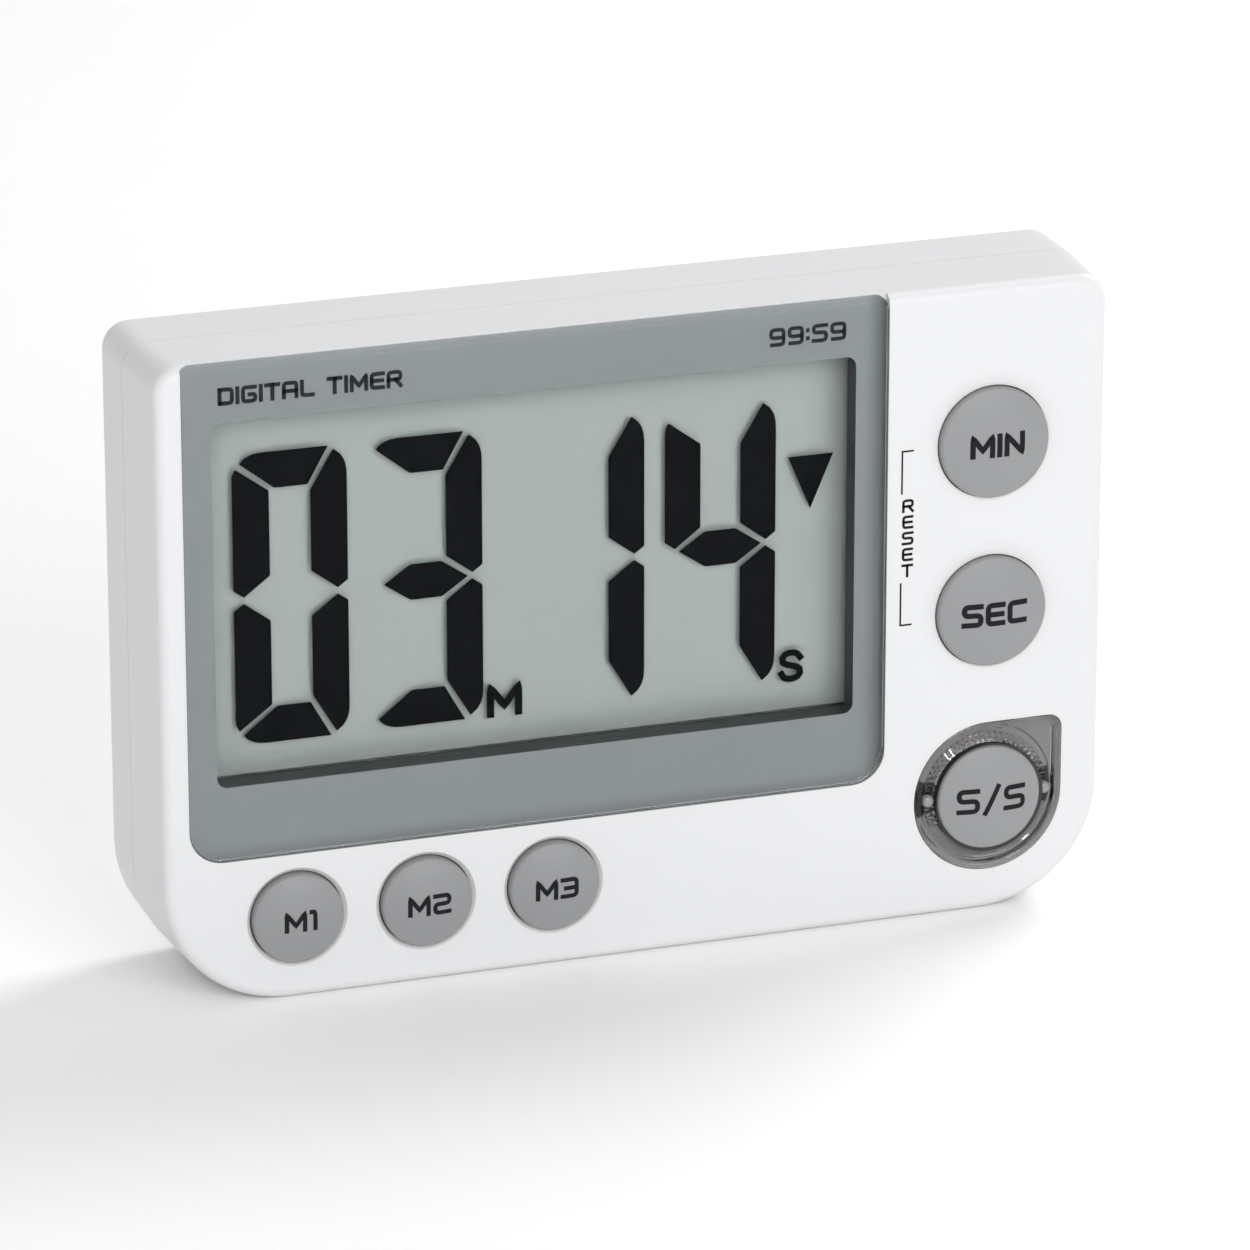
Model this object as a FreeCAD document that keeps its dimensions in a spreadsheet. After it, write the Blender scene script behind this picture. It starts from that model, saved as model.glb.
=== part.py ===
"""Lab timer: a big-digit countdown timer in a two-part plastic case.

The part stands on its bottom edge.  +Z is up, the display faces -Y, and the origin is the
middle of the flat base.  All lengths are millimetres.
"""
import FreeCAD, Part
import math
import os
import re
import Sketcher

Vector = FreeCAD.Vector

# ---------------------------------------------------------------------------------------
# Driving sizes.  Each one is a cell of the sheet and can be changed by itself.
# ---------------------------------------------------------------------------------------
SIZES = {
    # two-part case
    "body_width": 111.0,         # over both sides, at the joint between the two shells
    "body_height": 74.0,
    "front_depth": 10.4,         # front shell, front face to joint
    "side_draft": 0.85,          # how far each side leans in towards the front face
    "bottom_radius": 14.0,
    "top_radius": 3.0,
    "inner_corner": 0.9,         # upper corners inside the case
    "edge_round": 1.2,           # rounding of the front and back edges
    "case_wall": 2.0,
    "face_wall": 2.2,
    "back_wall": 1.8,
    "joint_gap": 0.12,           # fine line between the shells
    "lip_length": 1.5,           # tongue of the rear shell inside the front shell
    "lip_wall": 0.9,
    "slip": 0.1,                 # gap between pieces that slide together once
    "base_strip": 17.1,          # case below the window
    "key_column": 25.9,          # case right of the window
    # window and display
    "window_margin": 2.9,        # case left of the window
    "window_thickness": 1.5,
    "window_seat": 1.2,          # depth of the recess the window sits in
    "window_gap": 0.12,
    "window_corner": 3.9,
    "window_top_corner": 1.2,
    "window_round": 0.7,
    "tape_thickness": 0.1,
    "border_side": 3.4,          # printed border, window edge to clear area
    "border_top": 6.8,
    "border_bottom": 8.2,
    "aperture_corner": 1.0,
    "lcd_recess": 3.1,           # window recess floor to display glass
    "bezel_wall": 1.2,
    "bezel_inset": 0.15,         # bezel stands back behind the printed border
    "glass_thickness": 0.7,
    "glass_gap": 0.1,
    "glass_side": 2.0,           # display glass beyond the clear area, each side
    "glass_end": 2.6,
    "contact_ledge": 2.2,
    "contact_inset": 0.3,
    "segment_thickness": 0.06,
    "reflector_thickness": 0.2,
    "digit_stroke": 4.05,
    "digit_gap": 2.4,
    "pair_gap": 5.77,
    "digit_left": 3.32,
    "digit_right": 7.92,
    "digit_top": 5.16,
    "digit_bottom": 3.2,
    "segment_gap": 0.45,
    # circuit board
    "board_gap": 0.25,
    "board_thickness": 1.0,
    "board_clear": 0.3,
    "blob_radius": 5.0,          # drop of black resin over the chip
    "blob_height": 1.3,
    "blob_lip": 0.45,
    "blob_drop": 0.2,
    "chip_inset": 14.0,
    "crystal_radius": 1.0,
    "crystal_length": 6.0,
    "capacitor_offset": 2.0,
    "capacitor_length": 2.0,
    "capacitor_width": 1.2,
    "capacitor_height": 0.9,
    "capacitor_pitch": 3.0,
    "capacitor_drop": 4.8,
    # keys
    "key_inset": 13.3,           # key column centre to the edge of the front face
    "key_radius": 6.42,
    "key_drop": 18.2,            # upper key centre below the top of the case
    "memory_radius": 5.17,
    "memory_inset": 11.95,       # first memory key, from the window's left edge
    "memory_pitch": 14.8,
    "memory_height": 9.57,
    "start_radius": 6.12,
    "key_clear": 0.15,
    "key_proud": 1.5,
    "key_crown": 0.9,
    "key_edge_round": 0.35,
    "key_flange": 0.95,
    "key_flange_gap": 0.2,
    "key_stem_radius": 2.2,
    "key_stem": 0.35,
    "dish_radius": 8.45,
    "dish_depth": 0.5,
    "memory_chamfer": 0.45,
    "switch_side": 6.0,
    "switch_height": 1.9,
    "plunger_radius": 1.7,
    "plunger_out": 0.7,
    "plunger_in": 0.8,
    "plunger_clear": 0.1,
    "key_travel": 0.5,
    # alarm lens and lamps
    "lens_radius": 8.77,
    "lens_height": 13.75,
    "lens_corner": 1.5,
    "lens_ledge": 0.5,
    "lens_proud": 0.25,
    "lens_rim": 0.8,
    "lens_floor": 0.85,
    "lamp_offset": 7.45,
    "lamp_radius": 0.9,
    "lamp_gap": 0.35,
    # fixings
    "boss_radius": 2.4,
    "boss_clear": 0.3,
    "screw_radius": 1.0,
    "screw_head_radius": 2.2,
    "screw_head": 1.6,
    "screw_seat": 1.95,          # plastic between the joint and the screw head
    "well_radius": 2.5,
    "rear_boss_radius": 3.4,
    "screw_clear": 0.05,
    "screw_reach": 5.6,
    "screw_loose": 0.2,          # shank clearance in the rear shell
    "pilot_extra": 2.0,          # pilot hole beyond the screw's tip
    "screw_right_inset": 7.2,
    "screw_left_inset": 5.65,
    "screw_top_inset": 6.5,
    "screw_floor_gap": 4.0,
    "screw_lens_gap": 4.1,
    "post_rise": 0.8,            # board posts above the lower edge of the window
    "post_spread": 36.3,
    "post_side": 2.45,
    "post_lens_gap": 3.5,
    "post_radius": 1.9,
    "board_screw_radius": 0.8,
    "board_screw_head_radius": 1.7,
    "board_screw_head": 1.1,
    "board_screw_reach": 2.8,
    # batteries and their door
    "cell_diameter": 10.2,
    "cell_length": 44.5,
    "cell_nub": 0.9,
    "cell_nub_radius": 1.9,
    "cell_clear": 0.15,
    "cell_spacing": 0.5,
    "spring_room": 4.2,
    "contact_thickness": 0.3,
    "contact_side": 7.0,
    "spring_wire": 0.3,
    "spring_tip_radius": 1.7,
    "spring_turns": 3.5,
    "box_floor": 0.7,
    "box_wall": 1.2,
    "door_thickness": 1.0,
    "door_ledge": 3.0,
    "door_hinge_ledge": 3.2,
    "door_gap": 0.15,
    "door_bead": 0.9,
    "door_corner": 1.5,
    "door_pin_radius": 0.5,
    "door_pin": 1.2,
    "pin_clear": 0.06,
    "latch_width": 8.0,
    "latch_depth": 1.4,
    # folding stand
    "stand_thickness": 2.2,
    "stand_arm": 4.5,
    "stand_foot": 5.5,
    "stand_foot_height": 12.0,
    "stand_pivot_drop": 14.0,
    "stand_door_gap": 2.0,
    "stand_gap": 0.2,
    "stand_corner": 3.0,
    "stand_floor_gap": 0.25,
    "stand_floor": 1.0,
    "stand_pin_radius": 0.8,
    "stand_pin": 1.6,
    "stand_pin_wall": 1.0,
    "notch_width": 14.0,
    "notch_height": 2.0,
    "notch_depth": 1.2,
    # buzzer, magnets and mode switch on the back wall
    "strip_drop": 7.5,           # centre line of buzzer and magnets below the top
    "strip_height": 13.0,
    "magnet_offset": 16.0,
    "magnet_radius": 4.0,
    "magnet_thickness": 1.6,
    "magnet_clear": 0.05,
    "magnet_cup": 1.2,
    "buzzer_radius": 5.2,
    "buzzer_thickness": 0.4,
    "buzzer_rib": 0.5,
    "buzzer_rib_wall": 0.7,
    "sound_hole_radius": 0.6,
    "sound_ring_radius": 2.6,
    "mode_height": 6.2,
    "mode_knob_width": 3.2,
    "mode_knob_side": 2.6,
    "mode_knob_set_back": 0.2,
    "mode_travel": 3.0,
    "mode_clear": 0.2,
    "mode_body_width": 12.0,
    "mode_body_side": 5.2,
    "mode_body_depth": 3.4,
    "mode_body_floor": 0.8,
}

# ---------------------------------------------------------------------------------------
# Places and sizes that follow from the driving sizes, as formulas.
# ---------------------------------------------------------------------------------------
PLACES = {
    # front to back: everything that lies behind the window adds up to the depth of the case
    "lcd_stack": "2*glass_thickness + glass_gap + reflector_thickness",
    "board_depth": "window_seat + lcd_recess + lcd_stack + board_gap + board_thickness",
    "box_depth": "slip + box_floor + cell_clear + cell_diameter + slip + door_thickness",
    "body_depth": "board_depth + box_depth",
    "front_plane": "-body_depth/2",
    "back_plane": "body_depth/2",
    "joint_plane": "front_plane + front_depth",
    "face_inside": "front_plane + face_wall",
    "back_inside": "back_plane - back_wall",
    "seat_plane": "front_plane + window_seat",
    "lcd_front": "seat_plane + lcd_recess",
    "lcd_middle": "lcd_front + glass_thickness",
    "rear_glass_front": "lcd_middle + glass_gap",
    "lcd_back": "lcd_front + lcd_stack",
    "board_front": "lcd_back + board_gap",
    "board_back": "board_front + board_thickness",
    "box_front": "board_back + slip",
    "cell_axis": "box_front + box_floor + cell_clear + cell_diameter/2",
    "door_inside": "back_plane - door_thickness",
    # outlines of the case
    "half_width": "body_width/2",
    "face_half": "half_width - side_draft",
    "draft_inside": "side_draft*(1 - face_wall/front_depth)",
    "inner_face_half": "half_width - draft_inside - case_wall",
    "inner_half": "half_width - case_wall",
    # window, clear area and glass
    "window_left": "-face_half + window_margin",
    "window_right": "face_half - key_column",
    "window_bottom": "base_strip",
    "window_top": "body_height - slip",
    "clear_left": "window_left + border_side",
    "clear_right": "window_right - border_side",
    "clear_bottom": "window_bottom + border_bottom",
    "clear_top": "window_top - border_top",
    "window_proud": "window_thickness + tape_thickness - window_seat",
    # keys
    "key_x": "face_half - key_inset",
    "minute_z": "body_height - key_drop",
    "lens_top": "lens_height + lens_radius",
    "second_z": "(lens_top + minute_z - key_radius)/2",
    "memory_x": "window_left + memory_inset",
    "switch_top": "board_front - switch_height",
    "plunger_top": "switch_top - plunger_out",
    "flange_front": "face_inside + key_flange_gap",
    "flange_back": "plunger_top - key_stem",
    "lens_seat": "face_inside - lens_ledge",
    "lens_front": "front_plane - lens_proud",
    # screws
    "rear_seat": "joint_plane + screw_seat",
    # batteries, door and stand
    "box_half": "(cell_length + spring_room + contact_thickness)/2",
    "cell_pitch": "cell_diameter + cell_spacing",
    "stand_foot_top": "stand_foot_height + stand_foot",
    "battery_z": "(stand_foot_top + body_height - strip_height)/2",
    "door_half": "box_half + door_ledge",
    "door_bottom": "battery_z - cell_pitch - door_hinge_ledge",
    "door_top": "battery_z + cell_pitch + door_ledge",
    "door_axis_y": "back_plane - door_bead",
    "door_axis_z": "door_bottom + door_bead",
    "stand_inner": "door_half + stand_door_gap",
    "stand_outer": "stand_inner + stand_arm",
    "stand_axis_y": "back_plane - stand_thickness/2",
    "stand_axis_z": "body_height - stand_pivot_drop",
    "stand_pin_end": "stand_outer + stand_pin",
    "strip_z": "body_height - strip_drop",
}

doc = FreeCAD.newDocument("lab_timer")
sheet = doc.addObject("Spreadsheet::Sheet", "dims")
for row, (alias, number) in enumerate(SIZES.items(), start=1):
    sheet.set(f"A{row}", alias)
    sheet.set(f"B{row}", str(number))
    sheet.setAlias(f"B{row}", alias)
doc.recompute()


def formula(text):
    """Spell a formula out: a place becomes its own formula, a size becomes its sheet cell."""
    def spell(word):
        name = word.group(0)
        if name in PLACES:
            return "(" + formula(PLACES[name]) + ")"
        return "dims." + name if name in SIZES else name
    return re.sub(r"[a-z][a-z_]*", spell, str(text))


def number(text):
    """The value of a formula now, in millimetres."""
    return float(sheet.evalExpression(formula(text)))


def bind(item, prop, text):
    item.setExpression(prop, formula(text))


# ---------------------------------------------------------------------------------------
# Sketches.  Every corner is placed by two formulas, every arc by its radius.
# ---------------------------------------------------------------------------------------
PLANES = {"XZ": "XZ_Plane", "XY": "XY_Plane", "YZ": "YZ_Plane"}
NORMAL_SIGN = {"XZ": "-", "XY": "", "YZ": ""}


def sketch_on(body, plane, level):
    """An empty sketch on one of the body's origin planes, moved along the plane's normal."""
    sketch = body.newObject("Sketcher::SketchObject", body.Label + "_sketch")
    origin = next(f for f in body.Origin.OriginFeatures if f.Role == PLANES[plane])
    sketch.AttachmentSupport = (origin, [""])
    sketch.MapMode = "FlatFace"
    bind(sketch, "AttachmentOffset.Base.z", f"{NORMAL_SIGN[plane]}({level})")
    return sketch


def fix(sketch, kind, refs, text):
    """Add one dimension to a sketch and bind it to its formula."""
    index = sketch.addConstraint(Sketcher.Constraint(kind, *refs, number(text)))
    bind(sketch, f"Constraints[{index}]", text)


def add_circle(sketch, x, y, radius):
    centre = Vector(number(x), number(y), 0)
    index = sketch.addGeometry(Part.Circle(centre, Vector(0, 0, 1), number(radius)))
    fix(sketch, "Radius", (index,), radius)
    fix(sketch, "DistanceX", (-1, 1, index, 3), x)
    fix(sketch, "DistanceY", (-1, 1, index, 3), y)


def add_outline(sketch, corners):
    """A closed outline.  A corner is (x, y) or (x, y, radius): the radius makes the side that
    starts there an arc that bulges outwards, seen with the outline running anticlockwise."""
    spots = [Vector(number(c[0]), number(c[1]), 0) for c in corners]
    first = None
    for i, corner in enumerate(corners):
        a, b = spots[i], spots[(i + 1) % len(spots)]
        if len(corner) == 3:
            radius = number(corner[2])
            half = (b - a).Length / 2
            sag = radius - math.sqrt(max(radius * radius - half * half, 0))
            outward = Vector((b - a).y, -(b - a).x, 0).normalize()
            edge = Part.Arc(a, (a + b) / 2 + outward * sag, b)
        else:
            edge = Part.LineSegment(a, b)
        index = sketch.addGeometry(edge)
        first = index if first is None else first
        if len(corner) == 3:
            fix(sketch, "Radius", (index,), corner[2])
    count = len(corners)
    for i, corner in enumerate(corners):
        index = first + i
        previous = first + (i - 1) % count
        end = 2 if len(corners[i - 1]) == 2 or arc_forward(sketch, previous, spots[i]) else 1
        start = 1 if len(corner) == 2 or arc_forward(sketch, index, spots[(i + 1) % count]) else 2
        sketch.addConstraint(Sketcher.Constraint("Coincident", previous, end, index, start))
        fix(sketch, "DistanceX", (-1, 1, index, start), corner[0])
        fix(sketch, "DistanceY", (-1, 1, index, start), corner[1])


def arc_forward(sketch, index, end_spot):
    """Whether an arc of the sketch ends, rather than starts, at the given spot."""
    return (sketch.getPoint(index, 2) - end_spot).Length < 1e-6


def rectangle(left, right, bottom, top, *radii):
    """Corners of a rectangle; radii are none, one for all, or bottom left, bottom right, top
    right, top left.  A radius of None leaves that corner sharp."""
    radii = list(radii) * (4 if len(radii) == 1 else 1) or [None] * 4
    low_left, low_right, high_right, high_left = radii
    corners = []
    spans = [
        (low_left, left, bottom, (0, 1), (1, 0)),
        (low_right, right, bottom, (-1, 0), (0, 1)),
        (high_right, right, top, (0, -1), (-1, 0)),
        (high_left, left, top, (1, 0), (0, -1)),
    ]
    for radius, x, y, before, after in spans:
        if radius is None:
            corners.append((x, y))
            continue
        corners.append(shifted(x, y, radius, before) + (radius,))
        corners.append(shifted(x, y, radius, after))
    return corners


def shifted(x, y, radius, way):
    return (f"({x}) + ({way[0]})*({radius})", f"({y}) + ({way[1]})*({radius})")


def draw(sketch, shape):
    """Put one shape, or a list of shapes, into a sketch.  A circle is ("circle", x, y, r)."""
    for one in shape if isinstance(shape[0], list) or shape[0][0] == "circle" else [shape]:
        if one[0] == "circle":
            add_circle(sketch, *one[1:])
        else:
            add_outline(sketch, one)


def circle(x, y, radius):
    return [("circle", x, y, radius)]


# ---------------------------------------------------------------------------------------
# Features.  A slab or a cut of an XZ shape runs from the plane nearer the front to the one
# nearer the back; along X it runs from the lower x to the higher one.
# ---------------------------------------------------------------------------------------
def new_body(label):
    body = doc.addObject("PartDesign::Body", label)
    body.Label = label
    return body


def slab(body, shape, start, stop, plane="XZ"):
    sketch = sketch_on(body, plane, start)
    draw(sketch, shape)
    feature = body.newObject("PartDesign::Pad", body.Label + "_pad")
    feature.Profile = sketch
    feature.Reversed = plane == "XZ"
    bind(feature, "Length", f"({stop}) - ({start})")
    doc.recompute()
    return feature


def cut(body, shape, start, stop, plane="XZ"):
    before = body.Shape.Volume
    sketch = sketch_on(body, plane, start)
    draw(sketch, shape)
    feature = body.newObject("PartDesign::Pocket", body.Label + "_pocket")
    feature.Profile = sketch
    feature.Reversed = plane != "XZ"
    bind(feature, "Length", f"({stop}) - ({start})")
    doc.recompute()
    if not body.Shape.Volume < before - 1e-6:
        raise RuntimeError(f"a cut in {body.Label} removed nothing")
    return feature


def turned(body, profile):
    """Turn a profile (radius, y) about the body's own Y axis."""
    sketch = sketch_on(body, "XY", "0")
    draw(sketch, profile)
    feature = body.newObject("PartDesign::Revolution", body.Label + "_turned")
    feature.Profile = sketch
    feature.ReferenceAxis = (sketch, ["V_Axis"])
    feature.Angle = 360.0
    doc.recompute()
    return feature


def primitive(body, kind, x, y, z, **sizes):
    """A subtractive or additive solid whose axis points forward, standing at x, y, z."""
    feature = body.newObject(f"PartDesign::{kind}", body.Label + "_" + kind.lower())
    origin = next(f for f in body.Origin.OriginFeatures if f.Role == "XZ_Plane")
    feature.AttachmentSupport = (origin, [""])
    feature.MapMode = "FlatFace"
    bind(feature, "AttachmentOffset.Base.x", x)
    bind(feature, "AttachmentOffset.Base.y", z)
    bind(feature, "AttachmentOffset.Base.z", f"-({y})")
    for prop, text in sizes.items():
        bind(feature, prop, text)
    doc.recompute()
    return feature


def mirror_across_middle(body, features):
    feature = body.newObject("PartDesign::Mirrored", body.Label + "_mirrored")
    feature.Originals = features
    origin = next(f for f in body.Origin.OriginFeatures if f.Role == "YZ_Plane")
    feature.MirrorPlane = (origin, [""])
    body.Tip = feature
    doc.recompute()
    return feature


def round_edges(body, wanted, radius, kind="Fillet"):
    """Round or chamfer the edges of the body for which wanted(edge) is true."""
    base = body.Tip
    names = [f"Edge{i + 1}" for i, edge in enumerate(base.Shape.Edges) if wanted(edge)]
    if not names:
        raise RuntimeError(f"no edge to round on {body.Label}")
    feature = body.newObject(f"PartDesign::{kind}", body.Label + "_" + kind.lower())
    feature.Base = (base, names)
    bind(feature, "Radius" if kind == "Fillet" else "Size", radius)
    doc.recompute()
    return feature


def lies_in_plane(edge, level, axis="y"):
    box = edge.BoundBox
    low, high = getattr(box, axis.upper() + "Min"), getattr(box, axis.upper() + "Max")
    return abs(low - number(level)) < 1e-4 and abs(high - number(level)) < 1e-4


def place(item, x="0", y="0", z="0"):
    for axis, text in zip("xyz", (x, y, z)):
        bind(item, f"Placement.Base.{axis}", text)
    doc.recompute()


# Plain Part solids, for small parts that are a block or a turned pin.
AXIS_TURN = {
    "y": FreeCAD.Rotation(Vector(1, 0, 0), -90),
    "x": FreeCAD.Rotation(Vector(0, 1, 0), 90),
    "z": FreeCAD.Rotation(),
}


def block(label, left, right, front, back, bottom, top):
    item = doc.addObject("Part::Box", label)
    bind(item, "Length", f"({right}) - ({left})")
    bind(item, "Width", f"({back}) - ({front})")
    bind(item, "Height", f"({top}) - ({bottom})")
    place(item, left, front, bottom)
    return item


def pin(label, radius, x, y, z, length, axis="y"):
    """A cylinder that starts at x, y, z and runs along the positive axis."""
    item = doc.addObject("Part::Cylinder", label)
    item.Placement = FreeCAD.Placement(Vector(), AXIS_TURN[axis])
    bind(item, "Radius", radius)
    bind(item, "Height", length)
    place(item, x, y, z)
    return item


def joined(label, items):
    item = doc.addObject("Part::MultiFuse", label)
    item.Shapes = items
    doc.recompute()
    return item


def without(label, base, tool):
    item = doc.addObject("Part::Cut", label)
    item.Base = base
    item.Tool = tool
    doc.recompute()
    return item


def grouped(label, items):
    item = doc.addObject("Part::Compound", label)
    item.Links = items
    doc.recompute()
    return item


def shaped(label, shape):
    item = doc.addObject("Part::Feature", label)
    item.Shape = shape
    item.Placement = FreeCAD.Placement()
    return item


# ---------------------------------------------------------------------------------------
# Case
# ---------------------------------------------------------------------------------------
def case_outline(half, inset, top="inner_corner"):
    """The case seen from the front: tight corners above, generous ones below."""
    low = f"bottom_radius - ({inset})"
    return rectangle(f"-({half})", half, inset, f"body_height - ({inset})", low, low, top, top)


def make_front_case():
    body = new_body("front_case")
    slab(body, [("-face_half", "front_plane"), ("face_half", "front_plane"),
                ("half_width", "joint_plane"), ("-half_width", "joint_plane")],
         "0", "body_height", plane="XY")
    for level, radius in (("0", "bottom_radius"), ("body_height", "top_radius")):
        round_edges(body, lambda e: lies_in_plane(e, level, "z") and e.BoundBox.YLength > 1
                    and e.BoundBox.XLength < 2 * number("side_draft"), radius)
    round_edges(body, lambda e: lies_in_plane(e, "front_plane"), "edge_round")
    cut(body, case_outline("inner_face_half", "case_wall"), "face_inside", "joint_plane")
    ahead = "front_plane - edge_round"
    cut(body, rectangle("window_left - window_gap", "window_right + window_gap",
                        "window_bottom - window_gap", "body_height + edge_round",
                        "window_corner", "window_corner", None, None), ahead, "seat_plane")
    reach = "bezel_inset + bezel_wall + slip"
    cut(body, rectangle(f"clear_left - ({reach})", f"clear_right + {reach}",
                        f"clear_bottom - ({reach})", f"clear_top + {reach}",
                        "aperture_corner + bezel_wall"), ahead, "face_inside + slip")
    for z in ("minute_z", "second_z"):
        ball = "(dish_radius^2 + dish_depth^2)/(2*dish_depth)"
        primitive(body, "SubtractiveSphere", "key_x", f"front_plane + dish_depth - {ball}", z,
                  Radius=ball)
        cut(body, circle("key_x", z, "key_radius + key_clear"), ahead, "face_inside + slip")
    for i in range(3):
        x = f"memory_x + {i}*memory_pitch"
        cut(body, circle(x, "memory_height", "memory_radius + key_clear"), ahead,
            "face_inside + slip")
        primitive(body, "SubtractiveCone", x, "front_plane + memory_chamfer", "memory_height",
                  Radius1="memory_radius + key_clear",
                  Radius2="memory_radius + key_clear + 2*memory_chamfer",
                  Height="2*memory_chamfer")
    cut(body, teardrop("slip"), ahead, "lens_seat")
    cut(body, circle("key_x", "lens_height", "lens_radius - lens_ledge"), ahead,
        "face_inside + slip")
    for x, z in CASE_SCREWS:
        slab(body, circle(x, z, "boss_radius"), "face_inside - slip", "joint_plane - slip")
        cut(body, circle(x, z, "screw_radius + screw_clear"), "rear_seat - screw_reach - pilot_extra",
            "joint_plane")
    for x, z in BOARD_SCREWS:
        slab(body, circle(x, z, "post_radius"), "face_inside - slip", "board_front")
        cut(body, circle(x, z, "board_screw_radius + screw_clear"),
            "board_back - board_screw_reach - slip", "board_front + slip")


def teardrop(grow):
    """Three quarters of a circle with a nearly square corner at the upper right."""
    reach = f"(lens_radius + {grow})"
    corner = f"(lens_corner + {grow})"
    right, top = f"key_x + {reach}", f"lens_height + {reach}"
    return [
        ("key_x", top, reach),
        (f"key_x - {reach}", "lens_height", reach),
        ("key_x", f"lens_height - {reach}", reach),
        (right, "lens_height"),
        (right, f"{top} - {corner}", corner),
        (f"{right} - {corner}", top),
    ]


CASE_SCREWS = [
    ("face_half - screw_right_inset", "body_height - screw_top_inset"),
    ("-face_half + screw_left_inset", "base_strip - slip"),
    ("key_x - lens_radius - screw_lens_gap", "case_wall + screw_floor_gap"),
]
BOARD_SCREWS = [
    ("memory_x + memory_pitch/2", "base_strip + post_rise"),
    ("memory_x + memory_pitch/2 + post_spread", "base_strip + post_rise"),
    ("window_right + post_side", "body_height - screw_top_inset"),
    ("window_right + post_side", "lens_top + post_lens_gap"),
]


def make_rear_case():
    body = new_body("rear_case")
    slab(body, case_outline("half_width", "0", "top_radius"), "joint_plane + joint_gap", "back_plane")
    round_edges(body, lambda e: lies_in_plane(e, "back_plane"), "edge_round")
    cut(body, case_outline("inner_half", "case_wall"), "joint_plane", "back_inside")
    grip = "case_wall + slip"
    slab(body, [case_outline("inner_face_half - slip", grip),
                case_outline("inner_face_half - slip - lip_wall", f"{grip} + lip_wall")],
         "joint_plane - lip_length", "joint_plane + joint_gap + slip")
    slab(body, [case_outline("inner_half + slip", "case_wall - slip"),
                case_outline("inner_face_half - slip - lip_wall", f"{grip} + lip_wall")],
         "joint_plane + joint_gap", "joint_plane + joint_gap + lip_wall")
    # battery box, open at the back
    slab(body, rectangle("-box_half - box_wall", "box_half + box_wall",
                         "battery_z - cell_pitch - box_wall", "battery_z + cell_pitch + box_wall"),
         "box_front", "back_inside + slip")
    # floor under the stand, and cups for the screws, magnets and buzzer
    hub = "stand_gap + stand_pin + stand_pin_wall"
    slab(body, stand_outline(hub, "stand_floor", "stand_thickness/2 + stand_floor"),
         "back_plane - stand_thickness - stand_floor_gap - stand_floor", "back_inside + slip")
    for x, z in CASE_SCREWS:
        slab(body, circle(x, z, "rear_boss_radius"), "joint_plane", "back_inside + slip")
    for side in ("", "-"):
        slab(body, circle(f"{side}magnet_offset", "strip_z", "magnet_radius + magnet_cup"),
             "back_plane - magnet_thickness - magnet_cup", "back_inside + slip")
    slab(body, [("circle", "0", "strip_z", "buzzer_radius"),
                ("circle", "0", "strip_z", "buzzer_radius - buzzer_rib_wall")],
         "back_inside - buzzer_rib", "back_inside + slip")
    # cuts from the back
    cut(body, rectangle("-door_half - door_gap", "door_half + door_gap", "door_bottom - door_gap",
                        "door_top + door_gap", None, None, "door_corner", "door_corner"),
        "door_inside", "back_plane + slip")
    cut(body, rectangle("-door_half - door_gap", "door_half + door_gap", "door_bottom - door_gap",
                        "door_bottom + 2*door_bead + door_gap"),
        "door_axis_y - door_bead - door_gap", "back_plane")
    cut(body, rectangle("-box_half", "box_half", "battery_z - cell_pitch",
                        "battery_z + cell_pitch"), "box_front + box_floor", "back_plane")
    cut(body, stand_outline("stand_gap", "stand_gap", "stand_thickness/2 + stand_gap"),
        "back_plane - stand_thickness - stand_floor_gap", "back_plane + slip")
    cut(body, rectangle("-notch_width/2", "notch_width/2", "stand_foot_height - notch_height",
                        "stand_foot_height + slip", "notch_height/2", "notch_height/2",
                        None, None), "back_plane - notch_depth", "back_plane + slip")
    for x, z in CASE_SCREWS:
        cut(body, circle(x, z, "well_radius"), "rear_seat", "back_plane + slip")
        cut(body, circle(x, z, "screw_radius + screw_loose"), "joint_plane - slip", "rear_seat + slip")
    for side in ("", "-"):
        cut(body, circle(f"{side}magnet_offset", "strip_z", "magnet_radius + magnet_clear"),
            "back_plane - magnet_thickness - magnet_clear", "back_plane + slip")
    holes = [("circle", "0", "strip_z", "sound_hole_radius")]
    for i in range(6):
        turn = math.radians(60 * i)
        holes.append(("circle", f"{math.cos(turn):.6f}*sound_ring_radius",
                      f"strip_z + {math.sin(turn):.6f}*sound_ring_radius", "sound_hole_radius"))
    cut(body, holes, "back_inside - slip", "back_plane + slip")
    side = "mode_knob_side/2 + mode_clear"
    cut(body, rectangle("-mode_travel/2 - mode_knob_width/2 - mode_clear",
                        "mode_travel/2 + mode_knob_width/2 + mode_clear",
                        f"mode_height - ({side})", f"mode_height + {side}"),
        "back_inside - slip", "back_plane + slip")
    # sockets for the pins of the stand and of the door
    for y, z, radius, start, stop in (
            ("stand_axis_y", "stand_axis_z", "stand_pin_radius", "stand_outer",
             "stand_pin_end + stand_gap"),
            ("door_axis_y", "door_axis_z", "door_pin_radius", "door_half",
             "door_half + door_pin + door_gap")):
        right = cut(body, circle(y, z, f"{radius} + pin_clear"), start, stop, plane="YZ")
        mirror_across_middle(body, [right])


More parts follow.
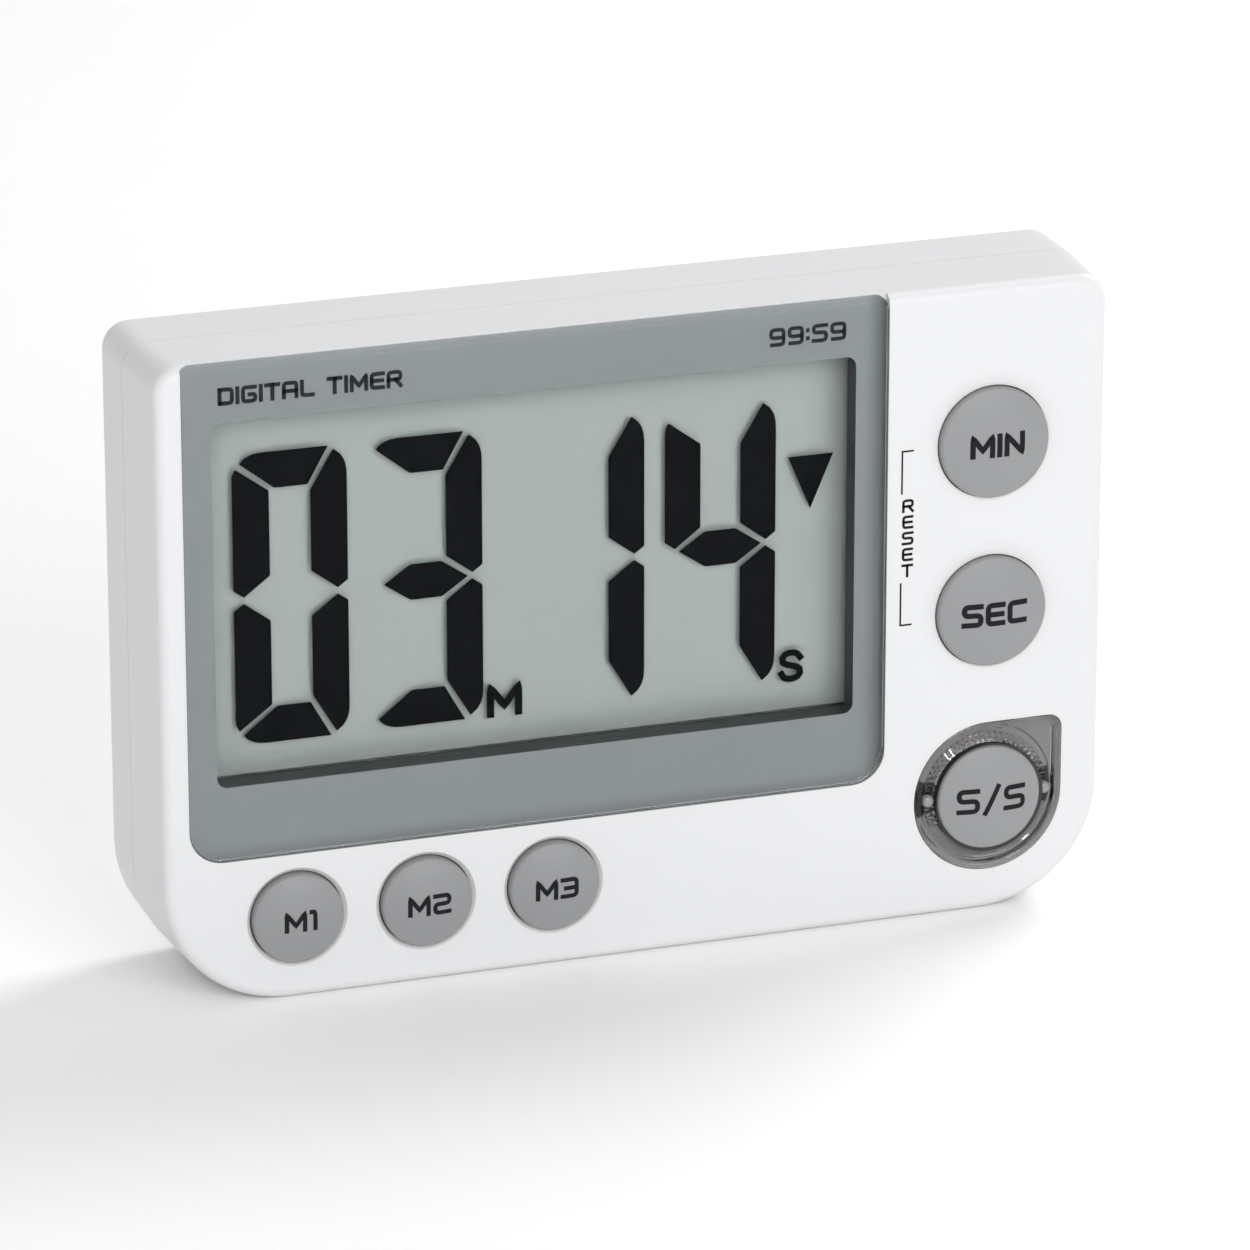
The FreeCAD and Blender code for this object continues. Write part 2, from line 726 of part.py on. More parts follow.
def stand_outline(grow, foot_grow, top_grow):
    """The stand seen from the back: two arms and a foot bar, widened by three margins."""
    out, inn = f"(stand_outer + {grow})", f"(stand_inner - ({foot_grow}))"
    low, high = f"stand_foot_height - ({foot_grow})", f"stand_axis_z + {top_grow}"
    bar, corner = f"stand_foot_top + {foot_grow}", f"(stand_corner + {foot_grow})"
    return [(f"-{out} + {corner}", low), (f"{out} - {corner}", low, corner),
            (out, f"{low} + {corner}"), (out, high), (inn, high), (inn, bar),
            (f"-{inn}", bar), (f"-{inn}", high), (f"-{out}", high),
            (f"-{out}", f"{low} + {corner}", corner)]


# ---------------------------------------------------------------------------------------
# Window and display
# ---------------------------------------------------------------------------------------
def make_window():
    body = new_body("display_window")
    top = "window_top_corner"
    slab(body, rectangle("window_left", "window_right", "window_bottom", "window_top",
                         "window_corner", "window_corner", top, top),
         "front_plane - window_proud", "seat_plane - tape_thickness")
    round_edges(body, lambda e: lies_in_plane(e, "front_plane - window_proud"), "window_round")
    border = new_body("window_border")
    edge = "window_gap"
    slab(border, [rectangle(f"window_left + {edge}", f"window_right - {edge}",
                            f"window_bottom + {edge}", f"window_top - {edge}",
                            "window_corner", "window_corner", top, top),
                  rectangle("clear_left", "clear_right", "clear_bottom", "clear_top",
                            "aperture_corner")],
         "seat_plane - tape_thickness", "seat_plane")


def glass_shape(side, end):
    return rectangle(f"clear_left - ({side})", f"clear_right + {side}",
                     f"clear_bottom - ({end})", f"clear_top + {end}")


def make_bezel():
    """Black frame that holds the display glass and lines the opening behind the window."""
    body = new_body("display_bezel")
    skirt = "slip + bezel_wall"
    slab(body, glass_shape(f"glass_side + {skirt}", f"glass_end + {skirt}"),
         "face_inside + slip", "board_front - slip")
    neck = "bezel_inset + bezel_wall"
    slab(body, rectangle(f"clear_left - ({neck})", f"clear_right + {neck}",
                         f"clear_bottom - ({neck})", f"clear_top + {neck}",
                         "aperture_corner + bezel_wall - slip"),
         "seat_plane", "face_inside + slip")
    cut(body, glass_shape("glass_side + slip", "glass_end + slip"), "lcd_front - slip/2",
        "board_front")
    cut(body, glass_shape("bezel_inset", "bezel_inset"), "front_plane", "lcd_front + slip")


def make_display():
    front = new_body("display_front_glass")
    slab(front, glass_shape("glass_side", "glass_end"), "lcd_front", "lcd_middle")
    rear = new_body("display_rear_glass")
    slab(rear, glass_shape("glass_side", "glass_end - contact_ledge"), "rear_glass_front",
         "rear_glass_front + glass_thickness")
    mirror = new_body("display_reflector")
    slab(mirror, glass_shape("glass_side", "glass_end - contact_ledge"),
         "rear_glass_front + glass_thickness", "lcd_back")
    strips = []
    for name, edge in (("upper_strip", "clear_top + glass_end - contact_ledge"),
                       ("lower_strip", "clear_bottom - glass_end")):
        strips.append(block(name, "clear_left", "clear_right", "lcd_middle", "board_front",
                            f"{edge} + contact_inset", f"{edge} + contact_ledge - contact_inset"))
    grouped("contact_strips", strips)


def bar(x, z, length, upright):
    """One bar of a digit: a six-sided bar with pointed ends, by its middle and length."""
    half, point = length / 2, number("digit_stroke") / 2
    flat = [(-half, 0), (point - half, -point), (half - point, -point),
            (half, 0), (half - point, point), (point - half, point)]
    level = number("lcd_middle") + (number("glass_gap") - number("segment_thickness")) / 2
    spots = [(x - v, z + u) if upright else (x + u, z + v) for u, v in flat]
    corners = [Vector(a, level, b) for a, b in spots]
    face = Part.Face(Part.makePolygon(corners + corners[:1]))
    return face.extrude(Vector(0, number("segment_thickness"), 0))


def make_segments():
    """The dark bars of 03 14 and the small pointer, as thin plates between the glasses."""
    stroke, gap = number("digit_stroke"), number("segment_gap")
    left, bottom = number("clear_left + digit_left"), number("clear_bottom + digit_bottom")
    tall = number("clear_top - digit_top") - bottom
    room = number("clear_right - digit_right") - left
    wide = (room - 2 * number("digit_gap") - number("pair_gap")) / 4
    step = wide + number("digit_gap")
    starts = [left, left + step, left + step + wide + number("pair_gap")]
    starts.append(starts[2] + step)
    across, up = wide - stroke - gap, (tall - stroke) / 2 - gap
    spots = {
        "a": (0.5, 1.0, False), "d": (0.5, 0.0, False), "g": (0.5, 0.5, False),
        "f": (0.0, 0.75, True), "b": (1.0, 0.75, True),
        "e": (0.0, 0.25, True), "c": (1.0, 0.25, True),
    }
    plates = []
    for start, bars in zip(starts, ("abcdef", "abcdg", "bc", "bcfg")):
        for name in bars:
            u, v, upright = spots[name]
            x = start + stroke / 2 + u * (wide - stroke)
            z = bottom + stroke / 2 + v * (tall - stroke)
            plates.append(bar(x, z, up if upright else across, upright))
    shaped("display_segments", Part.makeCompound(plates))


# ---------------------------------------------------------------------------------------
# Circuit board and what is on it
# ---------------------------------------------------------------------------------------
KEYS = {
    "minute": ("key_x", "minute_z", "key_radius"),
    "second": ("key_x", "second_z", "key_radius"),
    "start": ("key_x", "lens_height", "start_radius"),
    "memory_1": ("memory_x", "memory_height", "memory_radius"),
    "memory_2": ("memory_x + memory_pitch", "memory_height", "memory_radius"),
    "memory_3": ("memory_x + 2*memory_pitch", "memory_height", "memory_radius"),
}


def make_board():
    body = new_body("circuit_board")
    slab(body, case_outline("inner_face_half - board_clear", "case_wall + board_clear"),
         "board_front", "board_back")
    for x, z in CASE_SCREWS:
        cut(body, circle(x, z, "boss_radius + boss_clear"), "board_front - slip",
            "board_back + slip")
    for x, z in BOARD_SCREWS:
        cut(body, circle(x, z, "board_screw_radius + screw_clear"), "board_front - slip",
            "board_back + slip")
    switches = []
    for name, (x, z, _) in KEYS.items():
        half = "switch_side/2"
        box = block(f"{name}_switch_box", f"{x} - {half}", f"{x} + {half}", "switch_top",
                    "board_front", f"{z} - {half}", f"{z} + {half}")
        bore = pin(f"{name}_switch_bore", "plunger_radius + plunger_clear", x,
                   "switch_top - slip", z, "slip + plunger_in + key_travel + plunger_clear")
        switches.append(without(f"{name}_switch", box, bore))
    grouped("key_switches", switches)
    blob = new_body("controller_blob")
    turned(blob, [("0", "0"), ("blob_radius", "0"), ("blob_radius - blob_lip", "blob_lip"),
                  ("blob_radius/2", "blob_height - blob_drop"), ("0", "blob_height")])
    place(blob, "-inner_face_half + chip_inset", "board_back", "battery_z")
    pin("timing_crystal", "crystal_radius", "inner_face_half - chip_inset",
        "board_back + crystal_radius", "battery_z", "crystal_length", axis="z")
    start = "inner_face_half - chip_inset + capacitor_offset"
    grouped("board_capacitors", [
        block(f"capacitor_{i}", start, f"{start} + capacitor_length", "board_back",
              "board_back + capacitor_height",
              f"battery_z - capacitor_drop - {i}*capacitor_pitch - capacitor_width",
              f"battery_z - capacitor_drop - {i}*capacitor_pitch")
        for i in range(3)])
    lamps = []
    for side in ("-", "+"):
        x = f"key_x {side} lamp_offset"
        foot, top = "board_front", "lens_seat + lamp_gap + lamp_radius"
        stem = pin(f"lamp_stem_{len(lamps)}", "lamp_radius", x, top, "lens_height",
                   f"{foot} - ({top})")
        dome = doc.addObject("Part::Sphere", f"lamp_dome_{len(lamps)}")
        bind(dome, "Radius", "lamp_radius")
        place(dome, x, top, "lens_height")
        lamps.append(joined(f"lamp_{len(lamps)}", [stem, dome]))
    grouped("alarm_lamps", lamps)


def make_keys():
    """Domed caps with a hidden flange, and the switch plunger under each one."""
    for name, (x, z, radius) in KEYS.items():
        cap = new_body(f"{name}_key")
        edge = "front_plane - key_proud + key_crown"
        dome = f"(({radius})^2 + key_crown^2)/(2*key_crown)"
        ring = "slip" if name == "start" else "key_flange"
        turned(cap, cap_profile(radius, ring, edge, dome))
        round_edges(cap, lambda e: lies_in_plane(e, edge), "key_edge_round")
        if name == "start":
            ear = "start_radius + key_flange"
            slab(cap, rectangle("-lamp_offset/2", "lamp_offset/2", f"-({ear})", ear),
                 "flange_front", "flange_back")
        place(cap, x, "0", z)
        pin(f"{name}_plunger", "plunger_radius", x, "plunger_top", z, "plunger_out + plunger_in")


def cap_profile(radius, ring, edge, dome):
    wide = f"{radius} + {ring}"
    return [
        ("0", "front_plane - key_proud", dome), (radius, edge), (radius, "flange_front"),
        (wide, "flange_front"), (wide, "flange_back"), ("key_stem_radius", "flange_back"),
        ("key_stem_radius", "plunger_top"), ("0", "plunger_top"),
    ]


def make_lens():
    body = new_body("alarm_lens")
    slab(body, teardrop("0"), "lens_front", "lens_seat")
    cut(body, teardrop("0 - lens_rim"), "lens_front - slip", "lens_seat - lens_floor")
    cut(body, circle("key_x", "lens_height", "start_radius + key_clear"), "lens_front - slip",
        "lens_seat + slip")


# ---------------------------------------------------------------------------------------
# Batteries, their contacts and the door
# ---------------------------------------------------------------------------------------
SPRING_STEPS = 16


def make_batteries():
    for name, z, side in (("upper", "battery_z + cell_pitch/2", 1),
                          ("lower", "battery_z - cell_pitch/2", -1)):
        start = "-box_half + spring_room" if side == 1 else "-box_half + contact_thickness"
        can_start = start if side == 1 else f"{start} + cell_nub"
        nub_start = f"{start} + cell_length - cell_nub" if side == 1 else start
        can = pin(f"{name}_can", "cell_diameter/2", can_start, "cell_axis", z,
                  "cell_length - cell_nub", axis="x")
        nub = pin(f"{name}_nub", "cell_nub_radius", nub_start, "cell_axis", z, "cell_nub",
                  axis="x")
        joined(f"{name}_cell", [can, nub])
    plates, springs = [], []
    half = "contact_side/2"
    for name, z, side in (("upper", "battery_z + cell_pitch/2", 1),
                          ("lower", "battery_z - cell_pitch/2", -1)):
        edge = "box_half - contact_thickness" if side == 1 else "-box_half"
        plates.append(block(f"{name}_plate", edge, f"{edge} + contact_thickness",
                            f"cell_axis - {half}", f"cell_axis + {half}", f"{z} - {half}",
                            f"{z} + {half}"))
        springs.append(coil(side, number(z)))
    grouped("battery_plates", plates)
    shaped("battery_springs", Part.makeCompound(springs))


def coil(side, z):
    """A conical spring, wide at the wall, that ends just short of the cell."""
    wire, tip = number("spring_wire"), number("spring_tip_radius")
    wide = number("contact_side/2 - spring_wire")
    length = number("spring_room") - 3 * wire
    steps = int(number("spring_turns") * SPRING_STEPS)
    path = []
    for i in range(steps + 1):
        turn = math.tau * i / SPRING_STEPS
        radius = wide + (tip - wide) * i / steps
        path.append(Vector(radius * math.cos(turn), radius * math.sin(turn), length * i / steps))
    curve = Part.BSplineCurve()
    curve.interpolate(path)
    ring = Part.Wire(Part.makeCircle(wire, path[0], curve.tangent(curve.FirstParameter)[0]))
    solid = Part.Wire(curve.toShape()).makePipeShell([ring], True, True)
    solid.rotate(Vector(), Vector(0, 1, 0), 90 * side)
    solid.translate(Vector(-side * number("box_half - spring_wire - slip"), number("cell_axis"), z))
    return solid


def make_door():
    """Battery door that tilts out about the bead along its lower edge."""
    body = new_body("battery_door")
    slab(body, rectangle("-door_half", "door_half", "door_axis_z", "door_top", None, None,
                         "door_corner", "door_corner"), "door_inside", "back_plane")
    slab(body, circle("door_axis_y", "door_axis_z", "door_bead"), "-door_half", "door_half",
         plane="YZ")
    slab(body, circle("door_axis_y", "door_axis_z", "door_pin_radius"),
         "-door_half - door_pin", "door_half + door_pin", plane="YZ")
    latch = "battery_z + cell_pitch - slip - slip"
    slab(body, rectangle("-latch_width/2", "latch_width/2", f"{latch} - box_floor", latch),
         "door_inside - latch_depth", "door_inside + slip")


def make_stand():
    """Folding stand: a U with two pins at the top of its arms."""
    body = new_body("stand")
    slab(body, stand_outline("0", "0", "0"), "back_plane - stand_thickness", "back_plane")
    knuckle = slab(body, circle("stand_axis_y", "stand_axis_z", "stand_thickness/2"),
                   "stand_inner", "stand_outer", plane="YZ")
    peg = slab(body, circle("stand_axis_y", "stand_axis_z", "stand_pin_radius"),
               "stand_outer - slip", "stand_pin_end", plane="YZ")
    mirror_across_middle(body, [knuckle, peg])


# ---------------------------------------------------------------------------------------
# Back wall fittings and screws
# ---------------------------------------------------------------------------------------
def make_back_fittings():
    grouped("rear_magnets", [
        pin(f"magnet_{name}", "magnet_radius", f"{side}magnet_offset",
            "back_plane - magnet_thickness", "strip_z", "magnet_thickness - magnet_clear")
        for name, side in (("right", ""), ("left", "-"))])
    pin("buzzer_disc", "buzzer_radius", "0", "back_inside - buzzer_rib - buzzer_thickness",
        "strip_z", "buzzer_thickness")
    half, side = "mode_body_width/2", "mode_body_side/2"
    box = block("mode_switch_box", f"-{half}", half, "back_inside - slip - mode_body_depth",
                "back_inside - slip", f"mode_height - {side}", f"mode_height + {side}")
    play = "mode_knob_width/2 + mode_clear"
    room = block("mode_switch_room", f"-mode_travel/2 - ({play})", f"mode_travel/2 + {play}",
                 "back_inside - slip - mode_body_depth + mode_body_floor", "back_inside",
                 "mode_height - mode_knob_side/2 - mode_clear",
                 "mode_height + mode_knob_side/2 + mode_clear")
    without("mode_switch", box, room)
    knob = new_body("mode_knob")
    slab(knob, rectangle("-mode_travel/2 - mode_knob_width/2", "-mode_travel/2 + mode_knob_width/2",
                         "mode_height - mode_knob_side/2", "mode_height + mode_knob_side/2"),
         "back_inside - slip - mode_body_depth + mode_body_floor + mode_clear",
         "back_plane - mode_knob_set_back")


def make_screws():
    for label, spots, seat, radius, reach, head_radius, head in (
            ("case_screws", CASE_SCREWS, "rear_seat", "screw_radius", "screw_reach",
             "screw_head_radius", "screw_head"),
            ("board_screws", BOARD_SCREWS, "board_back", "board_screw_radius",
             "board_screw_reach", "board_screw_head_radius", "board_screw_head")):
        screws = []
        for i, (x, z) in enumerate(spots):
            shank = pin(f"{label}_shank_{i}", radius, x, f"{seat} - {reach}", z, reach)
            top = pin(f"{label}_head_{i}", head_radius, x, seat, z, head)
            screws.append(joined(f"{label}_{i}", [shank, top]))
        grouped(label, screws)


for make in (make_front_case, make_rear_case, make_window, make_bezel, make_display,
             make_segments, make_board, make_keys, make_lens, make_batteries, make_door,
             make_stand, make_back_fittings, make_screws):
    make()

# ---------------------------------------------------------------------------------------
# Check every object, then write one STEP file for each sub-part
# ---------------------------------------------------------------------------------------
KEY_NODES = [f"{name}_{kind}" for name in KEYS for kind in ("key", "plunger")]
NODES = [
    "front_case", "rear_case", "display_window", "window_border", "display_bezel",
    "display_front_glass", "display_rear_glass", "display_segments", "display_reflector",
    "contact_strips", "circuit_board", "key_switches", "controller_blob", "timing_crystal",
    "board_capacitors", "alarm_lamps", "alarm_lens", "upper_cell", "lower_cell",
    "battery_plates", "battery_springs", "battery_door", "stand", "rear_magnets",
    "buzzer_disc", "mode_switch", "mode_knob", "case_screws", "board_screws",
] + KEY_NODES

doc.recompute()
for item in doc.Objects:
    if {"Invalid", "Error"} & set(item.State):
        raise RuntimeError(f"{item.Label} failed: {item.State}")
os.makedirs("parts", exist_ok=True)
for label in NODES:
    shape = doc.getObjectsByLabel(label)[0].Shape
    if shape.isNull() or not shape.isValid() or not shape.Solids:
        raise RuntimeError(f"{label} has no valid solid")
    shape.exportStep(f"parts/{label}.step")
print(len(NODES), "sub-parts, case depth", number("body_depth"))
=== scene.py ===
"""Lab timer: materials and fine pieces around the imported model, put together as the timer is."""
import bmesh
import bpy
import math
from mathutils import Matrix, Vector


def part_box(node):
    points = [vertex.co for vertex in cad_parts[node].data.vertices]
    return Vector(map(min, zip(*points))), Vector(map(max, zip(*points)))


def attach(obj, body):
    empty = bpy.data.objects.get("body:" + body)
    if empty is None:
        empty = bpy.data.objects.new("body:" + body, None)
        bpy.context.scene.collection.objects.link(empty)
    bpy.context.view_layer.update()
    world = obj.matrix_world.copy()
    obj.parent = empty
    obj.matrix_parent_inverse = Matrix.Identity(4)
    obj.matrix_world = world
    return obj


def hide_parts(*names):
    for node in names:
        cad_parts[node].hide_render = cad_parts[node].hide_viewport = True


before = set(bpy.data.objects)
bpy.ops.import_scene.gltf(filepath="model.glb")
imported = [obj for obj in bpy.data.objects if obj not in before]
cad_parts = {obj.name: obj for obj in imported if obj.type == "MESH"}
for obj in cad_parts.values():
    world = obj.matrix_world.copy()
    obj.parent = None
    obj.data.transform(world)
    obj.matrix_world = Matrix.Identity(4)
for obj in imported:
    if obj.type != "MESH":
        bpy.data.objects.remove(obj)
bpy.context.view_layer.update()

# ----------------------------------------------------------
# Case: front and back shells, battery door and folding stand.  All are injection moulded in
# white ABS with a fine satin grain from the mould, so they share one material.
# ----------------------------------------------------------
MM = 0.001
GRAIN_DEPTH = 0.02 * MM


def new_nodes(name):
    """A new material with its node tree and its Principled shader."""
    material = bpy.data.materials.new(name)
    material.use_nodes = True
    tree = material.node_tree
    shader = tree.nodes["Principled BSDF"]
    return material, tree, shader


def group_with(name, inputs, outputs):
    """An empty shader group with float inputs {name: default} and outputs {name: type}."""
    group = bpy.data.node_groups.new(name, "ShaderNodeTree")
    for label, default in inputs.items():
        socket = group.interface.new_socket(label, in_out="INPUT", socket_type="NodeSocketFloat")
        socket.default_value = default
    for label, kind in outputs.items():
        group.interface.new_socket(label, in_out="OUTPUT", socket_type=kind)
    return group, group.nodes.new("NodeGroupInput"), group.nodes.new("NodeGroupOutput")


def build_mould_grain():
    """Fine moulded grain: a height for bump, a roughness and a slow tone drift."""
    group, source, result = group_with(
        "mould_grain", {"Scale": 2500.0, "Rough": 0.4, "Rough Spread": 0.08, "Drift": 0.03},
        {"Height": "NodeSocketFloat", "Roughness": "NodeSocketFloat", "Tone": "NodeSocketFloat"})
    nodes, link = group.nodes, group.links.new
    place = nodes.new("ShaderNodeTexCoord")
    grain = nodes.new("ShaderNodeTexNoise")
    grain.inputs["Detail"].default_value = 3.0
    link(place.outputs["Object"], grain.inputs["Vector"])
    link(source.outputs["Scale"], grain.inputs["Scale"])
    link(grain.outputs["Fac"], result.inputs["Height"])
    cloud = nodes.new("ShaderNodeTexNoise")
    cloud.inputs["Scale"].default_value = 40.0
    link(place.outputs["Object"], cloud.inputs["Vector"])
    centred = nodes.new("ShaderNodeMath")
    centred.operation = "SUBTRACT"
    centred.inputs[1].default_value = 0.5
    link(cloud.outputs["Fac"], centred.inputs[0])
    for spread, base, output in (("Rough Spread", "Rough", "Roughness"), ("Drift", None, "Tone")):
        scaled = nodes.new("ShaderNodeMath")
        scaled.operation = "MULTIPLY_ADD"
        link(centred.outputs[0], scaled.inputs[0])
        link(source.outputs[spread], scaled.inputs[1])
        if base:
            link(source.outputs[base], scaled.inputs[2])
        else:
            scaled.inputs[2].default_value = 1.0
        link(scaled.outputs[0], result.inputs[output])
    return group


MOULD_GRAIN = build_mould_grain()


def placed(tree, group, **values):
    """Place a shader group in a material; Rough_Spread=0.1 sets its input "Rough Spread"."""
    node = tree.nodes.new("ShaderNodeGroup")
    node.node_tree = group
    for label, value in values.items():
        node.inputs[label.replace("_", " ")].default_value = value
    return node


def multiplied(tree, tone):
    """A colour mix that multiplies its A by a grey tone."""
    tint = tree.nodes.new("ShaderNodeMix")
    tint.data_type = "RGBA"
    tint.blend_type = "MULTIPLY"
    tint.inputs["Factor"].default_value = 1.0
    tree.links.new(tone, tint.inputs["B"])
    return tint


def grained(name, colour, bump, **values):
    """A new material in one colour with the mould's grain on tone, roughness and height."""
    material, tree, shader = new_nodes(name)
    grain = placed(tree, MOULD_GRAIN, **values)
    tint = multiplied(tree, grain.outputs["Tone"])
    tint.inputs["A"].default_value = (*colour, 1.0)
    link = tree.links.new
    link(tint.outputs["Result"], shader.inputs["Base Color"])
    link(grain.outputs["Roughness"], shader.inputs["Roughness"])
    height = tree.nodes.new("ShaderNodeBump")
    height.inputs["Strength"].default_value = bump
    height.inputs["Distance"].default_value = GRAIN_DEPTH
    link(grain.outputs["Height"], height.inputs["Height"])
    link(height.outputs["Normal"], shader.inputs["Normal"])
    return material, shader


def moulded_plastic(name, colour, rough=0.4, spread=0.08, drift=0.03, bump=0.06,
                    grain=2500.0, specular=0.5):
    """Solid coloured plastic with the mould's grain."""
    material, shader = grained(name, colour, bump, Scale=grain, Rough=rough, Rough_Spread=spread,
                               Drift=drift)
    shader.inputs["Specular IOR Level"].default_value = specular
    return material


def paint_node(node, material):
    """Give a CAD node its material."""
    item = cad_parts[node]
    if not item.material_slots:
        item.data.materials.append(material)
    for holder in item.material_slots:
        holder.material = material


WHITE_CASE = moulded_plastic("white_satin_abs", (0.69, 0.695, 0.705), rough=0.42, bump=0.1)
for node in ("front_case", "rear_case", "battery_door", "stand"):
    paint_node(node, WHITE_CASE)

# ----------------------------------------------------------
# Window: a clear cast acrylic plate with a rounded, polished edge.  The grey border is a
# printed film bonded behind it, and the lettering is printed on the film in black.
# ----------------------------------------------------------


def clear_solid(name, colour, rough, ior, grain=900.0):
    """Refracting clear plastic that lets light through to what lies behind it."""
    material, tree, shader = new_nodes(name)
    shader.inputs["Base Color"].default_value = (*colour, 1.0)
    shader.inputs["Transmission Weight"].default_value = 1.0
    shader.inputs["IOR"].default_value = ior
    grain_node = placed(tree, MOULD_GRAIN, Scale=grain, Rough=rough, Rough_Spread=rough / 2)
    link = tree.links.new
    link(grain_node.outputs["Roughness"], shader.inputs["Roughness"])
    clear = tree.nodes.new("ShaderNodeBsdfTransparent")
    clear.inputs["Color"].default_value = (*colour, 1.0)
    path = tree.nodes.new("ShaderNodeLightPath")
    mix = tree.nodes.new("ShaderNodeMixShader")
    link(path.outputs["Is Shadow Ray"], mix.inputs["Fac"])
    link(shader.outputs["BSDF"], mix.inputs[1])
    link(clear.outputs["BSDF"], mix.inputs[2])
    link(mix.outputs["Shader"], tree.nodes["Material Output"].inputs["Surface"])
    return material


WINDOW_CLEAR = clear_solid("polished_clear_acrylic", (0.985, 0.995, 0.99), 0.015, 1.12)
paint_node("display_window", WINDOW_CLEAR)
border_low, border_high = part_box("window_border")
JOINT_GAP = 0.03 * MM
FILM_FRONT = border_low.y + JOINT_GAP
FILM_SIDE = 3.28 * MM
FILM_FOOT = 8.08 * MM
FILM_HEAD = 6.68 * MM
CORNER_STEPS = 10


def rounded_rectangle(x0, z0, x1, z1, low_radius, high_radius):
    """Corner points of a rectangle with rounded corners, always the same number."""
    points = []
    for x, z, radius, first in ((x0, z0, low_radius, 180), (x1, z0, low_radius, 270),
                                (x1, z1, high_radius, 0), (x0, z1, high_radius, 90)):
        cx = x + radius if x == x0 else x - radius
        cz = z + radius if z == z0 else z - radius
        for i in range(CORNER_STEPS + 1):
            turn = math.radians(first + 90 * i / CORNER_STEPS)
            points.append((cx + radius * math.cos(turn), cz + radius * math.sin(turn)))
    return points


def frame_plate(rings):
    """Closed solid through matching rings of (points, y), the last joined to the first."""
    mesh = bmesh.new()
    made = [[mesh.verts.new((x, y, z)) for x, z in points] for points, y in rings]
    count = len(made[0])
    for a, b in zip(made, made[1:] + made[:1]):
        for i in range(count):
            j = (i + 1) % count
            mesh.faces.new((a[i], a[j], b[j], b[i]))
    return mesh


SHARP_ANGLE = math.radians(38)


def add_piece(name, mesh, body, material, smooth=True):
    """Turn a bmesh into a piece that rides on a body."""
    bmesh.ops.recalc_face_normals(mesh, faces=mesh.faces)
    data = bpy.data.meshes.new(name)
    mesh.to_mesh(data)
    mesh.free()
    data.materials.append(material)
    if smooth:
        data.shade_smooth()
        data.set_sharp_from_angle(angle=SHARP_ANGLE)
    piece = bpy.data.objects.new(name, data)
    bpy.context.scene.collection.objects.link(piece)
    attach(piece, body)
    return piece


def build_edge_tone():
    """Painted light and shade on the film by position, standing in for the light on the plate's
    rounded edge: a painted highlight along the top and left, painted shade fading in along the
    right and a fainter painted shade along the bottom."""
    group, source, result = group_with(
        "edge_tone", {"Left": 0.0, "Right": 1.0, "Bottom": 0.0, "Top": 1.0},
        {"Tone": "NodeSocketFloat"})
    nodes, link = group.nodes, group.links.new
    place = nodes.new("ShaderNodeTexCoord")
    split = nodes.new("ShaderNodeSeparateXYZ")
    link(place.outputs["Object"], split.inputs["Vector"])
    total = None
    # Per edge: how far in it reaches, in mm, and the factor at the edge; above 1 is a painted
    # highlight, below 1 is painted shade.
    for edge, axis, sign, reach, at_edge in (
            ("Right", "X", 1, 2.6, 0.5), ("Left", "X", -1, 0.9, 1.1),
            ("Bottom", "Z", -1, 1.5, 0.82), ("Top", "Z", 1, 1.1, 1.22)):
        gap = nodes.new("ShaderNodeMath")
        gap.operation = "SUBTRACT"
        order = (source.outputs[edge], split.outputs[axis])
        link(order[0] if sign == 1 else order[1], gap.inputs[0])
        link(order[1] if sign == 1 else order[0], gap.inputs[1])
        fade = nodes.new("ShaderNodeMapRange")
        fade.interpolation_type = "SMOOTHSTEP"
        fade.inputs["From Min"].default_value = 0.0
        fade.inputs["From Max"].default_value = reach * MM
        fade.inputs["To Min"].default_value = at_edge
        fade.inputs["To Max"].default_value = 1.0
        link(gap.outputs[0], fade.inputs["Value"])
        if total is None:
            total = fade.outputs["Result"]
            continue
        both = nodes.new("ShaderNodeMath")
        both.operation = "MULTIPLY"
        link(total, both.inputs[0])
        link(fade.outputs["Result"], both.inputs[1])
        total = both.outputs[0]
    link(total, result.inputs["Tone"])
    return group


def film_material():
    """Grey screen ink with a faint silver sheen, multiplied by painted highlight and shade along
    the plate's edge.
    """
    material = moulded_plastic("grey_printed_film", (0.158, 0.171, 0.175), rough=0.45,
                               spread=0.04, drift=0.06, bump=0.02, grain=4000.0, specular=0.3)
    tree = material.node_tree
    shader = tree.nodes["Principled BSDF"]
    plain = shader.inputs["Base Color"].links[0].from_socket
    # Painted highlight along the top and left of the film and painted shade along its right and
    # bottom, multiplied into the ink's colour.
    edge = placed(tree, build_edge_tone(), Left=border_low.x, Right=border_high.x,
                  Bottom=border_low.z, Top=border_high.z)
    shade = multiplied(tree, edge.outputs["Tone"])
    tree.links.new(plain, shade.inputs["A"])
    tree.links.new(shade.outputs["Result"], shader.inputs["Base Color"])
    return material


FILM_OVER = 0.1 * MM
PLATE_FOOT_CORNER = 3.9 * MM
FILM_CORNER = 1.2 * MM
film_outer = rounded_rectangle(border_low.x - FILM_OVER, border_low.z - FILM_OVER,
                               border_high.x + FILM_OVER, border_high.z + FILM_OVER,
                               PLATE_FOOT_CORNER, FILM_CORNER)
film_inner = rounded_rectangle(border_low.x + FILM_SIDE, border_low.z + FILM_FOOT,
                               border_high.x - FILM_SIDE, border_high.z - FILM_HEAD,
                               FILM_CORNER, FILM_CORNER)
film = add_piece("border_film", frame_plate([(film_outer, border_high.y), (film_outer, FILM_FRONT),
                                             (film_inner, FILM_FRONT),
                                             (film_inner, border_high.y)]),
                 "housing", film_material(), smooth=False)
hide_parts("window_border")

